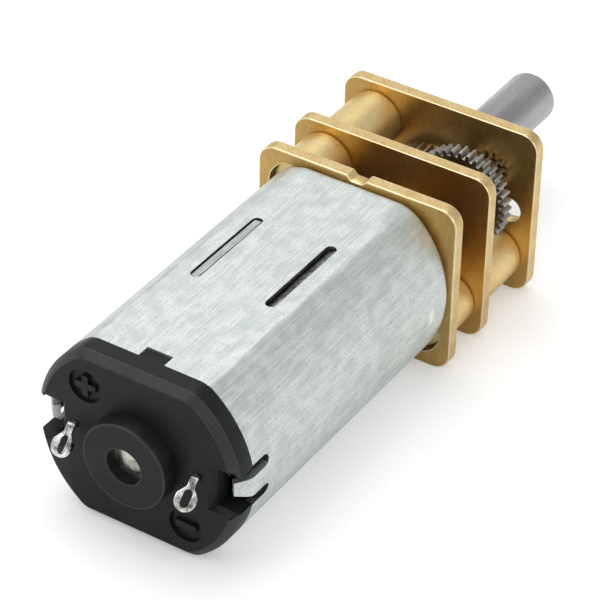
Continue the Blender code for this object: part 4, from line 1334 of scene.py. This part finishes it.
@dataclass
class EndCap:
    """The black moulding that closes the can, with its boss and polarity marks."""

    bench: Bench
    radius: float = 5.95
    flats: float = 10.0
    can_flats: float = 9.76
    corner: float = 1.2
    face: float = -19.65
    front: float = -18.32
    chamfer: float = 0.42
    notch_half: float = 1.1
    notch_inner: float = 4.5
    boss_face: float = -20.65
    mark_place: Point = (2.88, 2.98)
    mark: float = 1.9
    mark_depth: float = 0.2
    bar: float = 1.2
    bar_width: float = 0.34
    terminal_place: Point = (3.6, 0.45)
    slot: Spot = (0.5, 0.4, 0.05)
    boss: Profile = ((-19.5, 2.4), (-20.56, 2.4), (-20.62, 2.375), (-20.65, 2.3))
    boss_hole: Profile = ((-20.65, 1.08), (-20.62, 1.02), (-20.56, 1.0), (-19.5, 1.0))
    boss_rim: float = 0.1
    rim_lean: Point = (0.1, 0.95)
    spigot_insets: Point = (0.42, 1.12)
    spigot_span: Point = (-17.92, -16.9)
    spigot_soft: Point = (0.02, 0.1)
    key: Profile = ((0.72, 4.0), (0.72, 4.78), (-0.72, 4.78), (-0.72, 4.0))
    key_span: Point = (-18.7, -17.48)
    key_soft: Point = (0.02, 0.06)
    buried_soft: float = 0.02

    def section(self, inset: float) -> Loop:
        """The can's section, moved in by an inset."""
        return barrel(self.radius - inset, self.can_flats - 2 * inset, self.corner - inset / 2)

    def notched(self) -> Loop:
        """The flange's outline, with the notches that the can's tabs bend into.

        Returns:
            The points.
        """
        half = self.notch_half
        points = []
        for y, z in barrel(self.radius, self.flats, self.corner, (-half, half)):
            side = copysign(1, y)
            if abs(z) > half - WELD:
                points.append((y, z))
            if abs(z + side * half) < WELD:
                points += [(side * self.notch_inner, z), (side * self.notch_inner, -z)]
        return points

    def marks(self) -> List[List[Loop]]:
        """The round recesses that leave a plus and a minus standing.

        Returns:
            For each recess its outline and its sign's outline.
        """
        long, thin = self.bar / 2, self.bar_width / 2
        quarter = [(long, -thin), (long, thin), (thin, thin)]
        turns = ((1, 0), (0, 1), (-1, 0), (0, -1))
        plus = [(y * c - z * s, y * s + z * c) for c, s in turns for y, z in quarter]
        minus = [(long, thin), (-long, thin), (-long, -thin), (long, -thin)]
        groups = []
        for side, sign in ((1, plus), (-1, minus)):
            spot = opposite(self.mark_place, side)
            groups.append([circle(self.mark, spot, sides=48), moved(sign, spot)])
        return groups

    def build(self) -> None:
        """The cap with its boss, spigot and key."""
        shape = Shape()
        flange = {"rear": self.chamfer, "front": self.buried_soft, "steps": 0, "rim_slot": CapSlot.HIGHLIGHT_RIM}
        rear, _ = shape.slab([self.notched()], self.face, self.front, **flange)
        across, rise = self.terminal_place
        slots = [[rectangle(*self.slot, (side * across, rise), steps=3)] for side in (1, -1)]
        shape.pockets(rear, self.marks() + slots, self.mark_depth)
        shape.turned(self.boss + self.boss_hole, sides=72)
        spigot = [self.section(inset) for inset in self.spigot_insets]
        shape.slab(spigot, *self.spigot_span, *self.spigot_soft)
        shape.slab([self.key], *self.key_span, *self.key_soft)
        # The boss's edge gets the lighter plastic of the painted highlight, and the chamfer beside the
        # notches goes back to the body's plastic
        low, high = self.rim_lean
        for face in shape.mesh.faces:
            spot = face.calc_center_median()
            on_boss = spot.x < self.boss_face + self.boss_rim
            beside = abs(spot.z) < self.notch_half + self.chamfer
            if on_boss and low < abs(face.normal.x) < high:
                face.material_index = CapSlot.HIGHLIGHT_RIM
            if beside and abs(spot.y) < self.radius - self.chamfer and not on_boss:
                face.material_index = CapSlot.BODY
        self.bench.finished(shape, "end_cap", [PLASTIC, PLASTIC_RIM_HIGHLIGHT])


@dataclass
class Terminals:
    """The two tinned tabs that slope down to eyelets."""

    bench: Bench
    across: float = 3.6
    rise: float = 0.45
    root: float = -17.65
    bend: float = -19.9
    tip: float = -21.19
    slope: float = radians(45)
    radius: float = 0.3
    width: float = 1.1
    neck: float = 0.42
    thickness: float = 0.34
    eyelet: Point = (0.9, 0.4)
    cap_face: float = -19.65
    twists: Point = (0.95, 0.5)
    tip_short: float = 0.12
    shoulder: Point = (0.55, 0.45)
    flare: Point = (0.7, 0.25)
    hole_back: float = 0.12
    soft: float = 0.07
    bend_cuts: int = 8

    @property
    def level(self) -> float:
        """How far the strip runs level before its bend."""
        return self.root - self.bend - self.radius * tan(self.slope / 2)

    def bent(self, along: float) -> Spot:
        """A place on the strip's middle line.

        Args:
            along: the distance from the root.

        Returns:
            Its place in x and z, and the angle that the strip has turned by.
        """
        level, curve = self.level, self.radius * self.slope
        turn = min(max((along - level) / self.radius, 0.0), self.slope)
        x = self.root - min(along, level) - self.radius * sin(turn)
        z = self.rise - self.radius * (1 - cos(turn))
        rest = max(along - level - curve, 0.0)
        return (x - rest * cos(self.slope), z - rest * sin(self.slope), turn)

    def build(self) -> None:
        """Both terminals, each cut flat with soft edges and then bent."""
        level, curve = self.level, self.radius * self.slope
        reach = (self.bend - self.tip) / cos(self.slope)
        length = level + curve + reach - self.tip_short - self.thickness / 2
        half, thin = self.width / 2, self.neck / 2
        exit_at = self.root - self.cap_face
        ring = length - half
        side = [(half, 0.0), (half, exit_at - self.shoulder[0]), (thin, exit_at - self.shoulder[1])]
        side += [(thin, ring - self.flare[0]), (half, ring - self.flare[1])]
        outline = side + arc(half, 0, pi, 18, (0.0, ring))
        outline += [(-w, s) for w, s in reversed(side)]
        slot, gap = self.eyelet
        stretch = (slot - gap) / 2
        middle = ring - self.hole_back
        hole = arc(gap / 2, 0, pi, 10, (0.0, middle + stretch))
        hole += arc(gap / 2, pi, 2 * pi, 10, (0.0, middle - stretch))
        for name, place, twist in (("left", 1, self.twists[0]), ("right", -1, self.twists[1])):
            shape = Shape()
            mesh = shape.mesh
            thick = self.thickness / 2
            shape.slab([outline, hole], -thick, thick, self.soft, self.soft, steps=3)
            for step in range(self.bend_cuts + 1):
                cut = (0, 0, level + curve * step / self.bend_cuts)
                geom = mesh.verts[:] + mesh.edges[:] + mesh.faces[:]
                bmesh.ops.bisect_plane(mesh, geom=geom, dist=WELD, plane_co=cut, plane_no=(0, 0, 1))
            for corner in mesh.verts:
                offset, w, along = corner.co
                share = min(max((along - exit_at) / (ring - exit_at - half), 0.0), 1.0)
                offset, w = Matrix.Rotation(-twist * share, 2) @ Vector((offset, w))
                x, z, turn = self.bent(along)
                corner.co = (x - offset * sin(turn), w + place * self.across, z + offset * cos(turn))
            bmesh.ops.recalc_face_normals(mesh, faces=mesh.faces)
            self.bench.finished(shape, f"terminal_{name}", [TIN_WITH_REFLECTIONS])


@dataclass
class MotorInside:
    """What the can hides: rotor, magnets, brushes and bearings."""

    bench: Bench
    bearing_dome: Profile = ((-20.18, 0.0), (-20.16, 0.35), (-20.1, 0.65), (-20.0, 0.95), (-20.0, 1.48))
    bearing_cup: Profile = ((-18.5, 1.48), (-18.5, 0.53), (-19.85, 0.53), (-19.85, 0.0))

    def build(self) -> None:
        """Gives each inner node its finish, and the rear bearing its domed floor."""
        shape = Shape()
        shape.turned(self.bearing_dome + self.bearing_cup)
        self.bench.finished(shape, "motor_rear_bearing", [SINTERED])
        finishes = {
            "motor_shaft": SHAFT_STEEL,
            "armature_core": LAMINATION,
            "commutator": COPPER,
            "motor_front_bearing": SINTERED,
        }
        finishes.update({f"armature_coil_{pole}": COPPER for pole in (1, 2, 3)})
        for side in ("left", "right"):
            finishes[f"brush_{side}"] = COPPER
            finishes[f"magnet_{side}"] = FERRITE
        for node, finish in finishes.items():
            self.bench.dressed(node, finish)


@dataclass
class Studio:
    """A pale floor, soft light and the camera."""

    floor_size: float = 3.0
    floor_shade: float = 0.88
    floor_glow: float = 0.28
    room_level: float = 0.72
    room_dip: float = 0.26
    dim_side: Spot = (0.68, -0.43, 0.59)
    lens: float = 172.67
    eye: Spot = (-0.104085, -0.062994, 0.092905)
    forward: Spot = (0.67977, 0.42857, -0.59518)
    up: Spot = (0.49264, 0.33437, 0.80343)
    sensor: float = 36.0
    nearest: float = 0.001
    floor_drop: float = 0.00002
    dim_edges: Point = (0.8, 1.0)
    aim: Spot = (0.0, 0.0, 0.005)
    lamps: Tuple[Tuple[str, Spot, float, float], ...] = (
        ("top_soft_box", (0.05, 0.1, 0.35), 0.3, 0.43),
        ("rear_soft_box", (-0.22, 0.16, 0.26), 0.15, 0.12),
        ("right_soft_box", (0.0, -0.35, 0.2), 0.2, 0.15),
    )

    def camera(self) -> None:
        """The camera at the photograph's angle."""
        data = bpy.data.cameras.new("camera")
        data.lens = self.lens
        data.sensor_width = self.sensor
        data.clip_start = self.nearest
        camera = linked("camera", data)
        back = -Vector(self.forward).normalized()
        right = Vector(self.up).cross(back).normalized()
        turn = Matrix((right, back.cross(right), back)).transposed().to_4x4()
        camera.matrix_world = Matrix.Translation(self.eye) @ turn
        bpy.context.scene.camera = camera

    def floor(self) -> None:
        """A plain floor that keeps the shadow and looks white to the camera."""
        mesh = bmesh.new()
        bmesh.ops.create_grid(mesh, x_segments=1, y_segments=1, size=self.floor_size / 2)
        bmesh.ops.translate(mesh, vec=(0, 0, -self.floor_drop), verts=mesh.verts)
        data = bpy.data.meshes.new("floor")
        mesh.to_mesh(data)
        mesh.free()
        floor = linked("floor", data)
        material = bpy.data.materials.new("pale_floor")
        material.use_nodes = True
        graph = Graph(material.node_tree)
        cast = graph.node("ShaderNodeBsdfDiffuse", {}, {"Color": rgba([self.floor_shade] * 3)})
        seen = graph.node("ShaderNodeLightPath", {}, {}, "Is Camera Ray")
        glow = graph.node("ShaderNodeEmission", {}, {"Strength": seen * self.floor_glow})
        surface = graph.node("ShaderNodeAddShader", {}, {0: cast, 1: glow})
        graph.node("ShaderNodeOutputMaterial", {}, {"Surface": surface})
        data.materials.append(material)

    def world(self) -> None:
        """A white room with a dim side, brighter to the camera than to what it lights."""
        world = bpy.data.worlds.new("room")
        bpy.context.scene.world = world
        world.use_nodes = True
        graph = Graph(world.node_tree)
        seen = graph.node("ShaderNodeLightPath", {}, {}, "Is Camera Ray")
        way = graph.node("ShaderNodeTexCoord", output="Generated")
        product = {"operation": "DOT_PRODUCT"}
        toward = graph.node("ShaderNodeVectorMath", product, {0: way, 1: self.dim_side}, "Value")
        lit = self.room_level - toward.eased(*self.dim_edges) * self.room_dip
        strength = seen * (1 - lit) + lit
        room = graph.node("ShaderNodeBackground", {}, {"Color": (1.0, 1.0, 1.0, 1.0), "Strength": strength})
        graph.node("ShaderNodeOutputWorld", {}, {"Surface": room})

    def lamp(self, name: str, place: Sequence[float], size: float, power: float) -> None:
        """A square soft box that faces the part.

        Args:
            name: the lamp's name.
            place: where it stands, in metres.
            size: its side.
            power: its power in watts.
        """
        data = bpy.data.lights.new(name, "AREA")
        data.size = size
        data.energy = power
        lamp = linked(name, data)
        way = Vector(self.aim) - Vector(place)
        lamp.matrix_world = Matrix.Translation(place) @ way.to_track_quat("-Z", "Y").to_matrix().to_4x4()

    def build(self) -> None:
        """The whole studio."""
        bpy.context.scene.view_settings.view_transform = "Standard"
        self.camera()
        self.floor()
        self.world()
        for name, place, size, power in self.lamps:
            self.lamp(name, place, size, power)


def main() -> None:
    """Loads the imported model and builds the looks."""
    logging.basicConfig(level=logging.INFO)
    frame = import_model()
    bench = Bench(frame)
    Studio().build()
    for group in (MotorCan, EndCap, Terminals, MotorInside, Gearbox, GearTrain, OutputShaft):
        group(bench).build()
        LOG.info("%s done", group.__name__)


if __name__ == "__main__":
    main()
